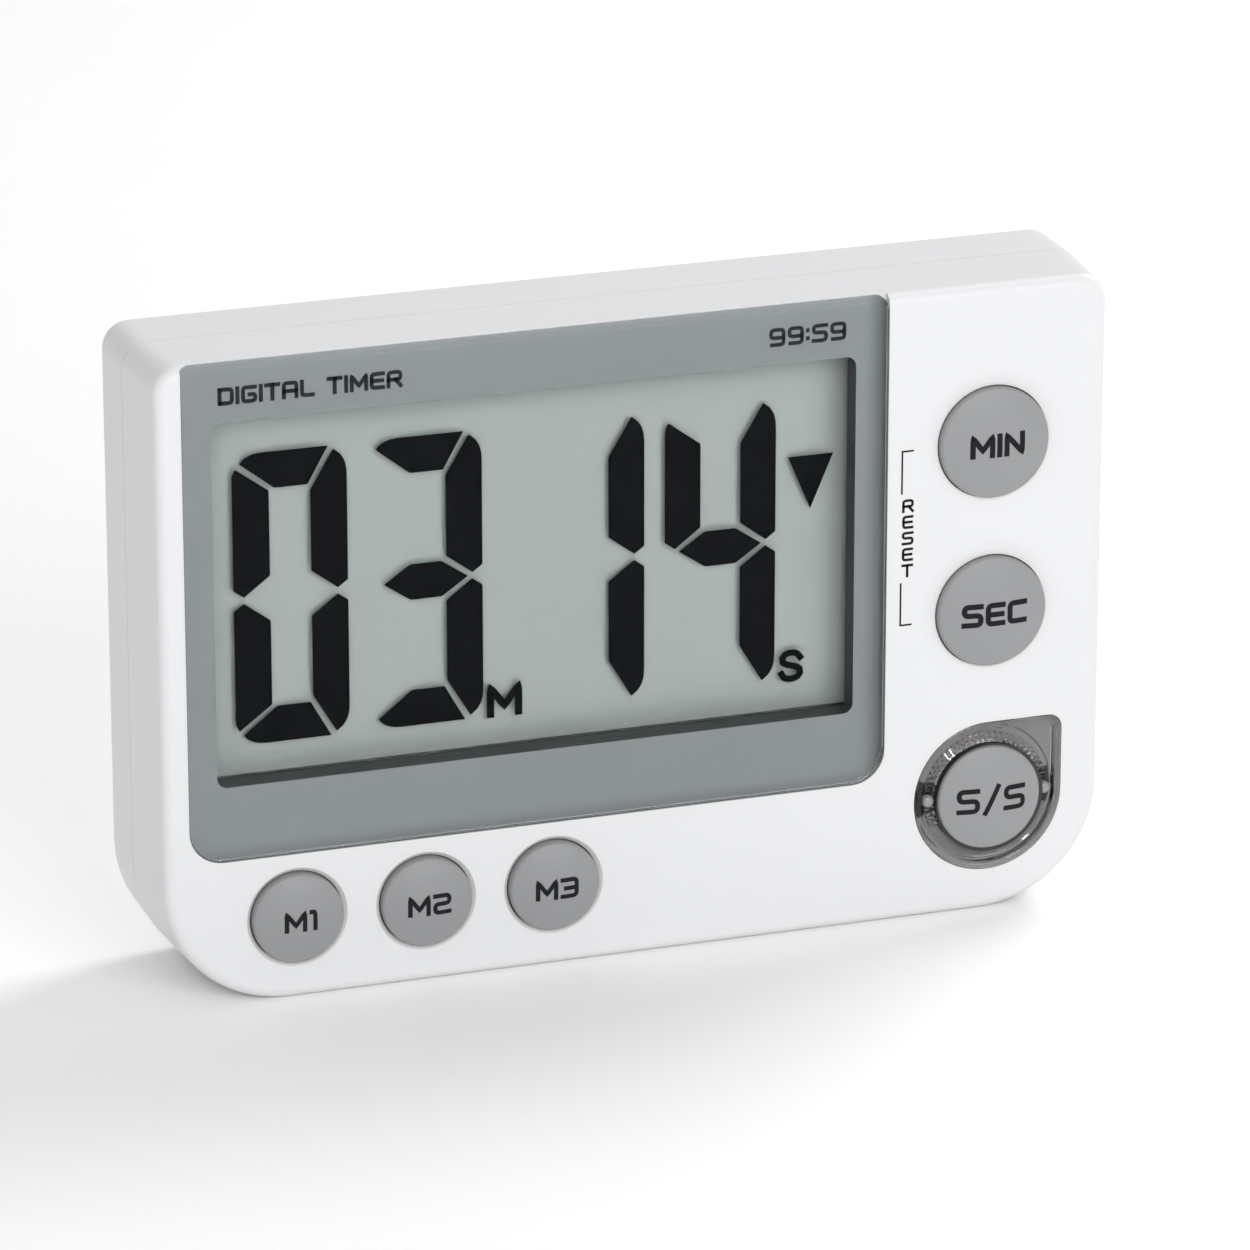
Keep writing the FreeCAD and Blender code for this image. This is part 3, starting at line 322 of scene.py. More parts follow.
# Dark grey bead in the fine gap round the sides and foot of the plate: painted shade, standing in
# for the shade in the gap.
window_low, window_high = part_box("display_window")
BEAD_TOP = window_high.z - 1.5 * MM
BEAD_OUTER = 0.105 * MM
BEAD_INNER = 0.012 * MM
BEAD_FRONT = window_low.y + 0.5 * MM
BEAD_BACK = window_high.y + 0.05 * MM


def bead_line(grow):
    """Line down one side of the plate, along its foot and up the other side."""
    line = rounded_rectangle(window_low.x - grow, window_low.z - grow, window_high.x + grow,
                             BEAD_TOP, PLATE_FOOT_CORNER + grow,
                             PLATE_FOOT_CORNER)[:2 * (CORNER_STEPS + 1)]
    return [(window_low.x - grow, BEAD_TOP)] + line + [(window_high.x + grow, BEAD_TOP)]


def plate(mesh, outline, front, back):
    """A flat plate with the given (x, z) outline."""
    near = [mesh.verts.new((x, front, z)) for x, z in outline]
    far = [mesh.verts.new((x, back, z)) for x, z in outline]
    mesh.faces.new(near)
    mesh.faces.new(far)
    for i, corner in enumerate(near):
        j = (i + 1) % len(near)
        mesh.faces.new((corner, near[j], far[j], far[i]))


# The bead's dark grey is painted shade in the gap between the plate and the case.
GAP_SHADE_GREY = moulded_plastic("painted_gap_shade", (0.1, 0.108, 0.112), rough=0.6, grain=1800.0)
bead = bmesh.new()
plate(bead, bead_line(BEAD_OUTER) + bead_line(BEAD_INNER)[::-1], BEAD_FRONT, BEAD_BACK)
add_piece("window_gap_shade_bead", bead, "housing", GAP_SHADE_GREY, smooth=False)

# Letters are strokes on a square grid: width, then lines of (across, up) from 0 to 1.
LETTERS = {
    "A": (0.9, [[(0, 0), (0, 1), (0.9, 1), (0.9, 0)], [(0, 0.42), (0.9, 0.42)]]),
    "C": (0.85, [[(0.85, 1), (0, 1), (0, 0), (0.85, 0)]]),
    "D": (0.88, [[(0, 0), (0, 1)], [(0, 1), (0.88, 1), (0.88, 0), (0, 0)]]),
    "E": (0.82, [[(0.82, 1), (0, 1), (0, 0), (0.82, 0)], [(0, 0.5), (0.76, 0.5)]]),
    "G": (0.88, [[(0.86, 1), (0, 1), (0, 0), (0.88, 0), (0.88, 0.48), (0.48, 0.48)]]),
    "I": (0.0, [[(0, 0), (0, 1)]]),
    "L": (0.78, [[(0, 1), (0, 0), (0.78, 0)]]),
    "M": (1.05, [[(0, 0), (0, 1), (0.525, 0.28), (1.05, 1), (1.05, 0)]]),
    "N": (0.88, [[(0, 0), (0, 1), (0.88, 0), (0.88, 1)]]),
    "R": (0.88, [[(0, 0), (0, 1), (0.86, 1), (0.86, 0.46), (0, 0.46)],
                 [(0.5, 0.46), (0.88, 0)]]),
    "S": (0.88, [[(0.88, 1), (0, 1), (0, 0.52), (0.88, 0.52), (0.88, 0), (0, 0)]]),
    "T": (0.86, [[(0, 1), (0.86, 1)], [(0.43, 1), (0.43, 0)]]),
    "1": (0.22, [[(0, 1), (0.22, 1), (0.22, 0)]]),
    "2": (0.86, [[(0, 1), (0.86, 1), (0.86, 0.52), (0, 0.52), (0, 0), (0.86, 0)]]),
    "3": (0.86, [[(0, 1), (0.86, 1), (0.86, 0), (0, 0)], [(0.2, 0.5), (0.86, 0.5)]]),
    "5": (0.86, [[(0.86, 1), (0, 1), (0, 0.54), (0.86, 0.54), (0.86, 0), (0, 0)]]),
    "9": (0.86, [[(0.86, 0.46), (0, 0.46), (0, 1), (0.86, 1), (0.86, 0), (0.06, 0)]]),
    "s": (0.74, [[(0.72, 0.8), (0.62, 0.93), (0.48, 1.0), (0.28, 1.0), (0.12, 0.93),
                  (0.04, 0.8), (0.06, 0.65), (0.2, 0.56), (0.56, 0.46), (0.7, 0.36),
                  (0.72, 0.2), (0.63, 0.07), (0.46, 0.0), (0.26, 0.0), (0.1, 0.07),
                  (0.01, 0.22)]]),
    "/": (0.62, [[(0, -0.14), (0.62, 1.14)]]),
    ":": (0.0, [[(0, 0.22), (0, 0.24)], [(0, 0.76), (0, 0.78)]]),
    " ": (0.35, []),
}
LETTER_SPACE = 0.4
MITRE_LIMIT = 1.3
CORNER_CUT = 0.24
CORNER_BENDS = 6
SQUARE_TURN = 0.2
STROKE_STEP = 0.12
INK_DEPTH = 0.02 * MM


def softened(line):
    """Round the square corners of one stroke, then cut it into short steps."""
    points = [Vector(line[0])]
    for before, here, after in zip(line, line[1:], line[2:]):
        a, b, c = Vector(before), Vector(here), Vector(after)
        square = abs((b - a).normalized().dot((c - b).normalized())) < SQUARE_TURN
        if not square:
            points.append(b)
            continue
        start = b + (a - b).normalized() * min(CORNER_CUT, (a - b).length / 2)
        stop = b + (c - b).normalized() * min(CORNER_CUT, (c - b).length / 2)
        for i in range(CORNER_BENDS + 1):
            t = i / CORNER_BENDS
            points.append(start * (1 - t) ** 2 + b * 2 * t * (1 - t) + stop * t ** 2)
    points.append(Vector(line[-1]))
    fine = [points[0]]
    for a, b in zip(points, points[1:]):
        steps = max(1, round((b - a).length / STROKE_STEP))
        fine += [a.lerp(b, (i + 1) / steps) for i in range(steps)]
    return [p for p, q in zip(fine, fine[1:] + [None]) if q is None or (p - q).length > 1e-6]


def ribbon(line, half):
    """The two edges of a stroke, mitred at its corners."""
    left, right = [], []
    for i, here in enumerate(line):
        into = (here - line[i - 1]).normalized() if i else (line[1] - here).normalized()
        out = (line[i + 1] - here).normalized() if i + 1 < len(line) else into
        side = Vector((-(into + out).y, (into + out).x)).normalized()
        stretch = min(1 / max(side.dot(Vector((-into.y, into.x))), 0.4), MITRE_LIMIT)
        left.append(here + side * half * stretch)
        right.append(here - side * half * stretch)
    return left, right


def text_width(text):
    """Width of a line of lettering, as a multiple of its height."""
    return sum(LETTERS[c][0] + LETTER_SPACE for c in text) - LETTER_SPACE


def printed(name, text, centre, height, weight, skin, body, material, depth=INK_DEPTH,
            facing=-1):
    """Lettering as thin ink on a surface.  centre is (x, z); skin(x, z) is the surface's y;
    facing is -1 on the front and 1 on the back, where it reads from behind."""
    mesh = bmesh.new()
    cursor = -text_width(text) / 2
    for letter in text:
        width, lines = LETTERS[letter]
        for line in lines:
            half = weight / height / 2
            middle = softened(line)
            middle[0] = middle[0] + (middle[0] - middle[1]).normalized() * half
            middle[-1] = middle[-1] + (middle[-1] - middle[-2]).normalized() * half
            edges = ribbon(middle, half)
            rows = []
            for i in range(len(middle)):
                row = []
                for lift in (0.0, depth):
                    for side in edges:
                        x = centre[0] - facing * (cursor + side[i].x) * height
                        z = centre[1] + (side[i].y - 0.5) * height
                        row.append(mesh.verts.new((x, skin(x, z) + facing * lift, z)))
                rows.append(row)
            for a, b in zip(rows, rows[1:]):
                for p, q in ((0, 1), (1, 3), (3, 2), (2, 0)):
                    mesh.faces.new((a[p], a[q], b[q], b[p]))
            for row in (rows[0], rows[-1]):
                mesh.faces.new((row[0], row[1], row[3], row[2]))
        cursor += width + LETTER_SPACE
    return add_piece(name, mesh, body, material, smooth=False)


def flat_face(y):
    """A flat surface for lettering, all of it at one y."""
    return lambda x, z: y


INK = moulded_plastic("black_screen_ink", (0.008, 0.009, 0.011), rough=0.55, bump=0.04,
                      specular=0.15)
TITLE_HEIGHT = 1.55 * MM
TITLE_Z = border_high.z - 3.75 * MM
TITLE = "DIGITAL TIMER"
TITLE_LEFT = border_low.x + 4.35 * MM
RANGE_X = border_high.x - 9.0 * MM
RANGE_Z = TITLE_Z + 0.2 * MM
film_face = flat_face(FILM_FRONT)
printed("title_print", TITLE, (TITLE_LEFT + text_width(TITLE) * TITLE_HEIGHT / 2, TITLE_Z),
        TITLE_HEIGHT, 0.46 * MM, film_face, "housing", INK)
printed("range_print", "99:59", (RANGE_X, RANGE_Z), 1.7 * MM, 0.44 * MM, film_face, "housing",
        INK)

# ----------------------------------------------------------
# Display: a black bezel round a reflective liquid crystal glass.  The grey-green reflector
# sits behind the rear glass, so the dark bars throw a soft shadow on it.
# ----------------------------------------------------------
BLACK_PLASTIC = moulded_plastic("black_moulded_bezel", (0.02, 0.021, 0.024), rough=0.5)
paint_node("display_bezel", BLACK_PLASTIC)
REFLECTOR = moulded_plastic("grey_green_reflector", (0.54, 0.595, 0.57), rough=0.32,
                            spread=0.05, drift=0.03, bump=0.05, grain=6000.0)


def thin_clear(name, rough):
    """Clear sheet glass seen face on: it reflects a little and doesn't bend the view."""
    material, tree, shader = new_nodes(name)
    link = tree.links.new
    shader.inputs["Base Color"].default_value = (0.02, 0.02, 0.02, 1.0)
    grain_node = placed(tree, MOULD_GRAIN, Scale=300.0, Rough=rough, Rough_Spread=rough / 2)
    link(grain_node.outputs["Roughness"], shader.inputs["Roughness"])
    clear = tree.nodes.new("ShaderNodeBsdfTransparent")
    fresnel = tree.nodes.new("ShaderNodeFresnel")
    fresnel.inputs["IOR"].default_value = 1.2
    mix = tree.nodes.new("ShaderNodeMixShader")
    link(fresnel.outputs["Fac"], mix.inputs["Fac"])
    link(clear.outputs["BSDF"], mix.inputs[1])
    link(shader.outputs["BSDF"], mix.inputs[2])
    link(mix.outputs["Shader"], tree.nodes["Material Output"].inputs["Surface"])
    return material


DISPLAY_GLASS = thin_clear("display_sheet_glass", 0.08)
for node in ("display_front_glass", "display_rear_glass"):
    paint_node(node, DISPLAY_GLASS)
REFLECTOR_CORNER = 0.2 * MM
reflector_low, reflector_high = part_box("display_reflector")
reflector_outer = rounded_rectangle(reflector_low.x, reflector_low.z, reflector_high.x,
                                    reflector_high.z, REFLECTOR_CORNER, REFLECTOR_CORNER)
reflector_mesh = bmesh.new()
plate(reflector_mesh, reflector_outer, reflector_low.y + JOINT_GAP, reflector_high.y)
reflector = add_piece("grey_reflector", reflector_mesh, "housing", REFLECTOR,
                      smooth=False)
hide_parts("display_reflector")

SEGMENT_INK = moulded_plastic("display_bar_black", (0.0006, 0.001, 0.002), rough=0.7,
                              bump=0.02, specular=0.02)
segments_low, segments_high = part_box("display_segments")
PAIR_GAP = 5.77 * MM
DIGIT_GAP = 2.4 * MM

# Bars of the upper half of a digit, in mm from its upper outer corner: across, down.  Bars
# a, b and f meet with slanted gaps and their outer corners are rounded.  The middle bar has
# pointed ends, and a small arrow stands beside the last digit.
UPPER_LEFT_BAR = [(0, 3.0), (0.05, 2.35), (0.4, 1.64), (4.15, 4.4)]
UPPER_RIGHT_BAR = [(0, 3.4), (0.06, 2.5), (0.28, 1.75), (0.72, 1.05), (1.5, 0.42), (4.0, 4.6),
                   (4.15, 4.95)]
TOP_BAR_LEFT = [(4.75, 4.15), (0.88, 1.1), (1.45, 0.5), (2.3, 0.12), (3.3, 0)]
TOP_BAR_RIGHT = [(2.1, 0), (4.45, 4.15)]
MIDDLE_END = [(0, 1.2), (1.16, 0.36), (4.15, 2.6)]
MIDDLE_TIP = 1.68 * MM
MIDDLE_SHOULDER = 4.7 * MM
MIDDLE_HALF = 2.05 * MM
ARROW_SIDE = 4.1 * MM
ARROW_DROP = 7.1 * MM
ARROW_HALF = 2.65 * MM
ARROW_HEIGHT = 6.2 * MM


def digit_bars(wide, tall):
    """The seven bars of one digit as outlines in the digit's own box."""
    middle = tall / 2

    def side(bar, flip):
        outline = [(x * MM, tall - z * MM) for x, z in bar]
        outline += [(x * MM, middle + z * MM) for x, z in reversed(MIDDLE_END)]
        return [(wide - x, z) for x, z in outline] if flip else outline

    upper_left, upper_right = side(UPPER_LEFT_BAR, False), side(UPPER_RIGHT_BAR, True)
    top = [(x * MM, tall - z * MM) for x, z in TOP_BAR_LEFT]
    top += [(wide - x * MM, tall - z * MM) for x, z in TOP_BAR_RIGHT]
    near, far = MIDDLE_SHOULDER, wide - MIDDLE_SHOULDER
    bar = [(MIDDLE_TIP, middle), (near, middle + MIDDLE_HALF), (far, middle + MIDDLE_HALF),
           (wide - MIDDLE_TIP, middle), (far, middle - MIDDLE_HALF), (near, middle - MIDDLE_HALF)]
    upper = {"f": upper_left, "b": upper_right, "a": top}
    lower = {"e": upper_left, "c": upper_right, "d": top}
    bars = dict(upper, g=bar)
    for name, outline in lower.items():
        bars[name] = [(x, tall - z) for x, z in outline]
    return bars


def make_display_bars():
    """The bars that are on, in two pairs of digits, and the arrow beside them."""
    mesh = bmesh.new()
    wide = (segments_high.x - segments_low.x - 2 * DIGIT_GAP - PAIR_GAP) / 4
    tall = segments_high.z - segments_low.z
    step = wide + DIGIT_GAP
    start = segments_low.x
    second_pair = start + step + wide + PAIR_GAP
    bars = digit_bars(wide, tall)
    for left, shown in ((start, "abcdef"), (start + step, "abcdg"), (second_pair, "bc"),
                        (second_pair + step, "bcfg")):
        for name in shown:
            outline = [(left + x, segments_low.z + z) for x, z in bars[name]]
            plate(mesh, outline, segments_low.y, segments_high.y)
    peak = segments_high.x + ARROW_SIDE
    high = segments_high.z - ARROW_DROP
    arrow = [(peak - ARROW_HALF, high), (peak + ARROW_HALF, high), (peak, high - ARROW_HEIGHT)]
    plate(mesh, arrow, segments_low.y, segments_high.y)
    piece = add_piece("display_bars", mesh, "housing", SEGMENT_INK, smooth=False)
    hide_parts("display_segments")


make_display_bars()
bar_face = flat_face(segments_high.y)
UNIT_Z = segments_low.z + 1.75 * MM
UNIT_HEIGHT = 3.1 * MM
for name, text, across, weight in (("minutes_mark", "M", 30.8 * MM, 0.85 * MM),
                                   ("seconds_mark", "s", 64.45 * MM, 0.74 * MM)):
    printed(name, text, (segments_low.x + across, UNIT_Z), UNIT_HEIGHT, weight, bar_face,
            "housing", SEGMENT_INK, depth=0.05 * MM)

# ----------------------------------------------------------
# Keys: turned-looking domed caps, moulded in grey plastic with a satin face, with their
# legends printed in black.  Each slides in its hole and rests on its switch plunger.
# ----------------------------------------------------------
KEY_GREY = moulded_plastic("grey_satin_key", (0.262, 0.266, 0.272), rough=0.38, spread=0.1,
                           drift=0.04, bump=0.08)
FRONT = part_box("front_case")[0].y
KEY_STEPS = 96
KEY_CROWN = 0.9 * MM
KEY_EDGE = 0.4 * MM
KEY_STEM = 2.2 * MM
FLANGE_FRONT = FRONT + 2.4 * MM
FLANGE_BACK = FLANGE_FRONT + 0.9 * MM
DOME_RINGS = 14
EDGE_RINGS = 6


def circle(x, z, radius, steps):
    """Points (x, z) of a circle; a radius of 0 gives its centre only."""
    turns = [math.tau * i / steps for i in range(steps if radius else 1)]
    return [(x + radius * math.cos(t), z + radius * math.sin(t)) for t in turns]


def turned_faces(mesh, rings):
    """Join turned rings; a ring of one point closes as a fan."""
    steps = max(len(ring) for ring in rings)
    for a, b in zip(rings, rings[1:]):
        for i in range(steps):
            j = (i + 1) % steps
            quad = [a[i % len(a)], a[j % len(a)], b[j % len(b)], b[i % len(b)]]
            mesh.faces.new(list(dict.fromkeys(quad)))


def lathe(profile, x, z, steps=KEY_STEPS):
    """Turn a profile of (radius, y) about the line along Y through x, z."""
    mesh = bmesh.new()
    rings = [[mesh.verts.new((px, y, pz)) for px, pz in circle(x, z, radius, steps)]
             for radius, y in profile]
    turned_faces(mesh, rings)
    return mesh


def key_profile(radius, bulge, front, back, flange):
    """Dome, rounded shoulder, side, flange and stem of a cap, from the middle out."""
    points = []
    for i in range(DOME_RINGS + 1):
        r = (radius - KEY_EDGE) * i / DOME_RINGS
        points.append((r, front + bulge - math.sqrt(bulge ** 2 - r ** 2)))
    shoulder = points[-1][1]
    for i in range(1, EDGE_RINGS + 1):
        turn = math.radians(90 * i / EDGE_RINGS)
        points.append((radius - KEY_EDGE + KEY_EDGE * math.sin(turn),
                       shoulder + KEY_EDGE - KEY_EDGE * math.cos(turn)))
    return points + [(radius, FLANGE_FRONT), (radius + flange, FLANGE_FRONT),
                     (radius + flange, FLANGE_BACK), (KEY_STEM, FLANGE_BACK), (KEY_STEM, back),
                     (0.0, back)]


def make_key(name, legend, height, weight, flange):
    """A cap in place of the plain one, with its legend on the dome; its place and radius."""
    low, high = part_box(f"{name}_key")
    x, z = (low.x + high.x) / 2, (low.z + high.z) / 2
    radius = (high.x - low.x) / 2 - flange
    bulge = (radius ** 2 + KEY_CROWN ** 2) / (2 * KEY_CROWN)
    profile = key_profile(radius, bulge, low.y, high.y, flange)
    body = f"{name}_key"
    cap = add_piece(f"{name}_cap", lathe(profile, x, z), body, KEY_GREY)
    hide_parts(f"{name}_key")

    def dome(px, pz):
        off = (px - x) ** 2 + (pz - z) ** 2
        return low.y + bulge - math.sqrt(bulge ** 2 - off)

    printed(f"{name}_legend", legend, (x, z), height, weight, dome, body, INK)
    return x, z, radius


FLANGE = 0.95 * MM
START_FLANGE = 0.1 * MM
key_places = {}
for name, legend, height, weight, flange in (
        ("minute", "MIN", 2.15 * MM, 0.62 * MM, FLANGE),
        ("second", "SEC", 2.15 * MM, 0.62 * MM, FLANGE),
        ("start", "S/S", 2.42 * MM, 0.57 * MM, START_FLANGE),
        ("memory_1", "M1", 1.95 * MM, 0.5 * MM, FLANGE),
        ("memory_2", "M2", 1.95 * MM, 0.5 * MM, FLANGE),
        ("memory_3", "M3", 1.95 * MM, 0.5 * MM, FLANGE)):
    key_places[name] = make_key(name, legend, height, weight, flange)
    paint_node(f"{name}_plunger", BLACK_PLASTIC)

# ----------------------------------------------------------
# Legend between the two upper keys: fine printed bracket lines and the word RESET set
# downwards, one letter under the other.
# ----------------------------------------------------------
RESET_HEIGHT = 1.25 * MM
RESET_WEIGHT = 0.3 * MM
RESET_PITCH = 1.9 * MM
BRACKET_HALF = 0.1 * MM
BRACKET_RUN = 5.0 * MM
BRACKET_CLEAR = 1.4 * MM
reset_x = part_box("display_window")[1].x + 2.55 * MM
reset_top = (key_places["minute"][1] + key_places["second"][1]) / 2 + 3.5 * MM
for i, letter in enumerate("RESET"):
    spot = (reset_x, reset_top - i * RESET_PITCH)
    printed(f"reset_{i}_{letter}", letter, spot, RESET_HEIGHT, RESET_WEIGHT, flat_face(FRONT),
            "housing", INK)


def make_reset_lines():
    """Two fine lines with a short hook, above and below the word."""
    mesh = bmesh.new()
    half, left, right = BRACKET_HALF, reset_x - 0.75 * MM, reset_x + 0.6 * MM
    upper = reset_top + BRACKET_CLEAR
    lower = reset_top - 4 * RESET_PITCH - BRACKET_CLEAR
    for start, stop in ((upper, upper + BRACKET_RUN), (lower, lower - BRACKET_RUN)):
        side = half if stop > start else -half
        plate(mesh, [(left - half, start), (left + half, start), (left + half, stop - side),
                     (right, stop - side), (right, stop + side), (left - half, stop + side)],
              FRONT - INK_DEPTH, FRONT)
    add_piece("reset_lines", mesh, "housing", INK, smooth=False)


make_reset_lines()

# ----------------------------------------------------------
# Alarm lens: a smoke-tinted clear moulding in the shape of a drop, pressed into the case
# round the start key.  It has a raised rim, a sunken floor and a knurled ring that scatters
# the light of the two lamps.
# ----------------------------------------------------------
lens_low, lens_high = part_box("alarm_lens")
lens_x, lens_z, start_radius = key_places["start"]
LENS_RADIUS = lens_x - lens_low.x
LENS_CORNER = 1.5 * MM
LENS_LEAST_CORNER = 0.35 * MM
LENS_STEPS = 360
RIM_INSET = 1.2 * MM
KNURL_OUTER = 7.5 * MM
KNURL_INNER = start_radius + 0.2 * MM
KNURL_PITCH = 6
KNURL_DEPTH = 0.5 * MM
KNURL_PLAIN = 0.22 * MM
KNURL_FIRST = math.radians(12)
KNURL_LAST = math.radians(206)


def drop_point(turn, inset):
    """Point of the drop outline, inset from its edge, at an angle about the key."""
    radius = LENS_RADIUS - inset
    cos, sin = math.cos(turn), math.sin(turn)
    if cos <= 1e-9 or sin <= 1e-9:
        return radius * cos, radius * sin
    corner = max(LENS_CORNER - inset, LENS_LEAST_CORNER)
    centre = radius - corner
    reach = min(radius / cos, radius / sin)
    along = centre * (cos + sin)
    inside = along ** 2 - 2 * centre ** 2 + corner ** 2
    if reach * cos > centre and reach * sin > centre and inside > 0:
        reach = along + math.sqrt(inside)
    return reach * cos, reach * sin


def build_lens():
    """Rings from the back of the rim over the rim and floor to the hole round the key.  A drop
    ring gives its inset in mm; the others give their radius."""
    front, back = lens_low.y, lens_high.y - JOINT_GAP
    floor = front + 1.02 * MM
    rings = [("drop", 0, back), ("drop", 0, front + 0.28 * MM), ("drop", 0.05, front + 0.12 * MM),
             ("drop", 0.15, front + 0.03 * MM), ("drop", 0.3, front),
             ("drop", 0.62, front + 0.02 * MM), ("drop", 0.78, front + 0.12 * MM),
             ("drop", 0.86, front + 0.4 * MM), ("drop", 0.95, floor - 0.12 * MM),
             ("drop", 1.12, floor), ("ring", KNURL_OUTER, floor + 0.05 * MM),
             ("knurl", KNURL_OUTER - 0.12 * MM, front + 0.62 * MM),
             ("knurl", KNURL_INNER + 0.15 * MM, front + 0.5 * MM),
             ("ring", KNURL_INNER, front + 0.62 * MM), ("ring", KNURL_INNER, back)]
    mesh = bmesh.new()
    made = []
    for kind, size, y in rings:
        ring = []
        for i in range(LENS_STEPS):
            turn = math.tau * i / LENS_STEPS
            depth = y
            if kind == "drop":
                px, pz = drop_point(turn, size * MM)
            else:
                reach = min(size, math.hypot(*drop_point(turn, RIM_INSET)))
                px, pz = reach * math.cos(turn), reach * math.sin(turn)
            if kind == "knurl":
                slant = 0 if size > start_radius + MM else 2
                valley = (i + slant) % KNURL_PITCH < KNURL_PITCH / 2
                toothed = KNURL_FIRST < turn < KNURL_LAST
                depth += KNURL_DEPTH * valley if toothed else KNURL_PLAIN
            ring.append(mesh.verts.new((lens_x + px, depth, lens_z + pz)))
        made.append(ring)
    for a, b in zip(made, made[1:] + made[:1]):
        for i in range(LENS_STEPS):
            j = (i + 1) % LENS_STEPS
            mesh.faces.new((a[i], a[j], b[j], b[i]))
    return mesh


LENS_SMOKE = clear_solid("smoke_tinted_lens", (0.535, 0.523, 0.530), 0.04, 1.4, grain=700.0)
lens = add_piece("drop_lens", build_lens(), "housing", LENS_SMOKE, smooth=False)
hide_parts("alarm_lens")

# Black ring in the gap between the key and the lens, wider low on the right: painted shadow in the
# gap, widest where the shadow falls.
COLLAR_SHADOW_SHIFT = 0.19 * MM
COLLAR_INNER = 6.17 * MM
COLLAR_OUTER = 6.45 * MM
COLLAR_FRONT = lens_low.y + 0.05 * MM
COLLAR_BACK = COLLAR_FRONT + 1.1 * MM
collar_inner = circle(lens_x, lens_z, COLLAR_INNER, KEY_STEPS)
collar_outer = circle(lens_x + COLLAR_SHADOW_SHIFT, lens_z - COLLAR_SHADOW_SHIFT, COLLAR_OUTER, KEY_STEPS)
collar = frame_plate([(collar_outer, COLLAR_BACK), (collar_outer, COLLAR_FRONT + 0.06 * MM),
                      (collar_inner, COLLAR_FRONT), (collar_inner, COLLAR_BACK)])
# The black ring is painted shadow in the gap round the start key.
add_piece("key_gap_painted_shadow", collar, "housing", BLACK_PLASTIC, smooth=False)

# White liner behind the lens in two arcs, open where the lamps look through.
LINER_OUTER = 8.15 * MM
LINER_INNER = 6.4 * MM
LINER_STEPS = 60
LINER_FRONT = lens_high.y + 0.04 * MM
LINER_BACK = lens_high.y + 0.4 * MM
for label, first, last in (("upper", 16, 164), ("lower", 196, 344)):
    liner = bmesh.new()
    arc = [math.radians(first + (last - first) * i / LINER_STEPS) for i in range(LINER_STEPS + 1)]
    outline = [(lens_x + radius * math.cos(t), lens_z + radius * math.sin(t))
               for radius, turns in ((LINER_OUTER, arc), (LINER_INNER, arc[::-1])) for t in turns]
    plate(liner, outline, LINER_FRONT, LINER_BACK)
    add_piece(f"{label}_lens_liner", liner, "housing", WHITE_CASE, smooth=False)

# A milky light pip in front of each lamp, moulded with a domed face.
PIP_MILKY = moulded_plastic("milky_light_pip", (0.27, 0.27, 0.28), rough=0.2)
PIP_SIDE = 7.05 * MM
PIP_FRONT = lens_low.y + 0.2 * MM
PIP_STEPS = 40
PIP_PROFILE = [(0, 0), (0.3, 0.03), (0.55, 0.14), (0.68, 0.3), (0.72, 0.5), (0.72, 0.95), (0, 0.95)]
for side, label in ((-1, "left"), (1, "right")):
    bead = [(radius * MM, PIP_FRONT + depth * MM) for radius, depth in PIP_PROFILE]
    add_piece(f"{label}_lamp_pip", lathe(bead, lens_x + side * PIP_SIDE, lens_z, PIP_STEPS),
              "housing", PIP_MILKY)
LAMP_CLEAR = clear_solid("clear_epoxy_lamp", (0.95, 0.93, 0.88), 0.06, 1.5)
paint_node("alarm_lamps", LAMP_CLEAR)

# ----------------------------------------------------------
# Inside: circuit board, its chip, crystal and capacitors, key switches, elastomer contact
# strips and small screws.  They stay as modelled and only take their materials.
# ----------------------------------------------------------
BRUSHED = 0.35


def metal(name, colour, rough):
    """Plated or plain metal with fine drawn lines and slight tarnish."""
    material, shader = grained(name, colour, 0.05, Scale=1500.0, Rough=rough,
                               Rough_Spread=BRUSHED * rough, Drift=0.12)
    shader.inputs["Metallic"].default_value = 1.0
    return material


STEEL = metal("zinc_plated_steel", (0.62, 0.63, 0.65), 0.3)
NICKEL = metal("nickel_plate", (0.66, 0.63, 0.57), 0.22)
BRASS = metal("brass_disc", (0.72, 0.55, 0.28), 0.28)
MAGNET = metal("nickel_plated_magnet", (0.5, 0.5, 0.51), 0.2)
BOARD_GREEN = moulded_plastic("green_solder_mask", (0.012, 0.045, 0.025), rough=0.3, drift=0.2)
EPOXY = moulded_plastic("black_epoxy_blob", (0.008, 0.008, 0.009), rough=0.18)
RUBBER = moulded_plastic("contact_elastomer", (0.02, 0.02, 0.022), rough=0.75)
CAPACITOR = moulded_plastic("ceramic_tan", (0.32, 0.2, 0.1), rough=0.5)
for node, material in (("circuit_board", BOARD_GREEN), ("controller_blob", EPOXY),
                       ("timing_crystal", NICKEL), ("board_capacitors", CAPACITOR),
                       ("key_switches", STEEL), ("contact_strips", RUBBER),
                       ("buzzer_disc", BRASS), ("board_screws", STEEL),
                       ("battery_plates", NICKEL), ("battery_springs", NICKEL),
                       ("mode_switch", BLACK_PLASTIC), ("rear_magnets", MAGNET)):
    paint_node(node, material)

# ----------------------------------------------------------
# Two round cells in plain printed sleeves: a metal can with a shrunk plastic sleeve, a
# coloured band at the positive end and bare steel at both ends.
# ----------------------------------------------------------


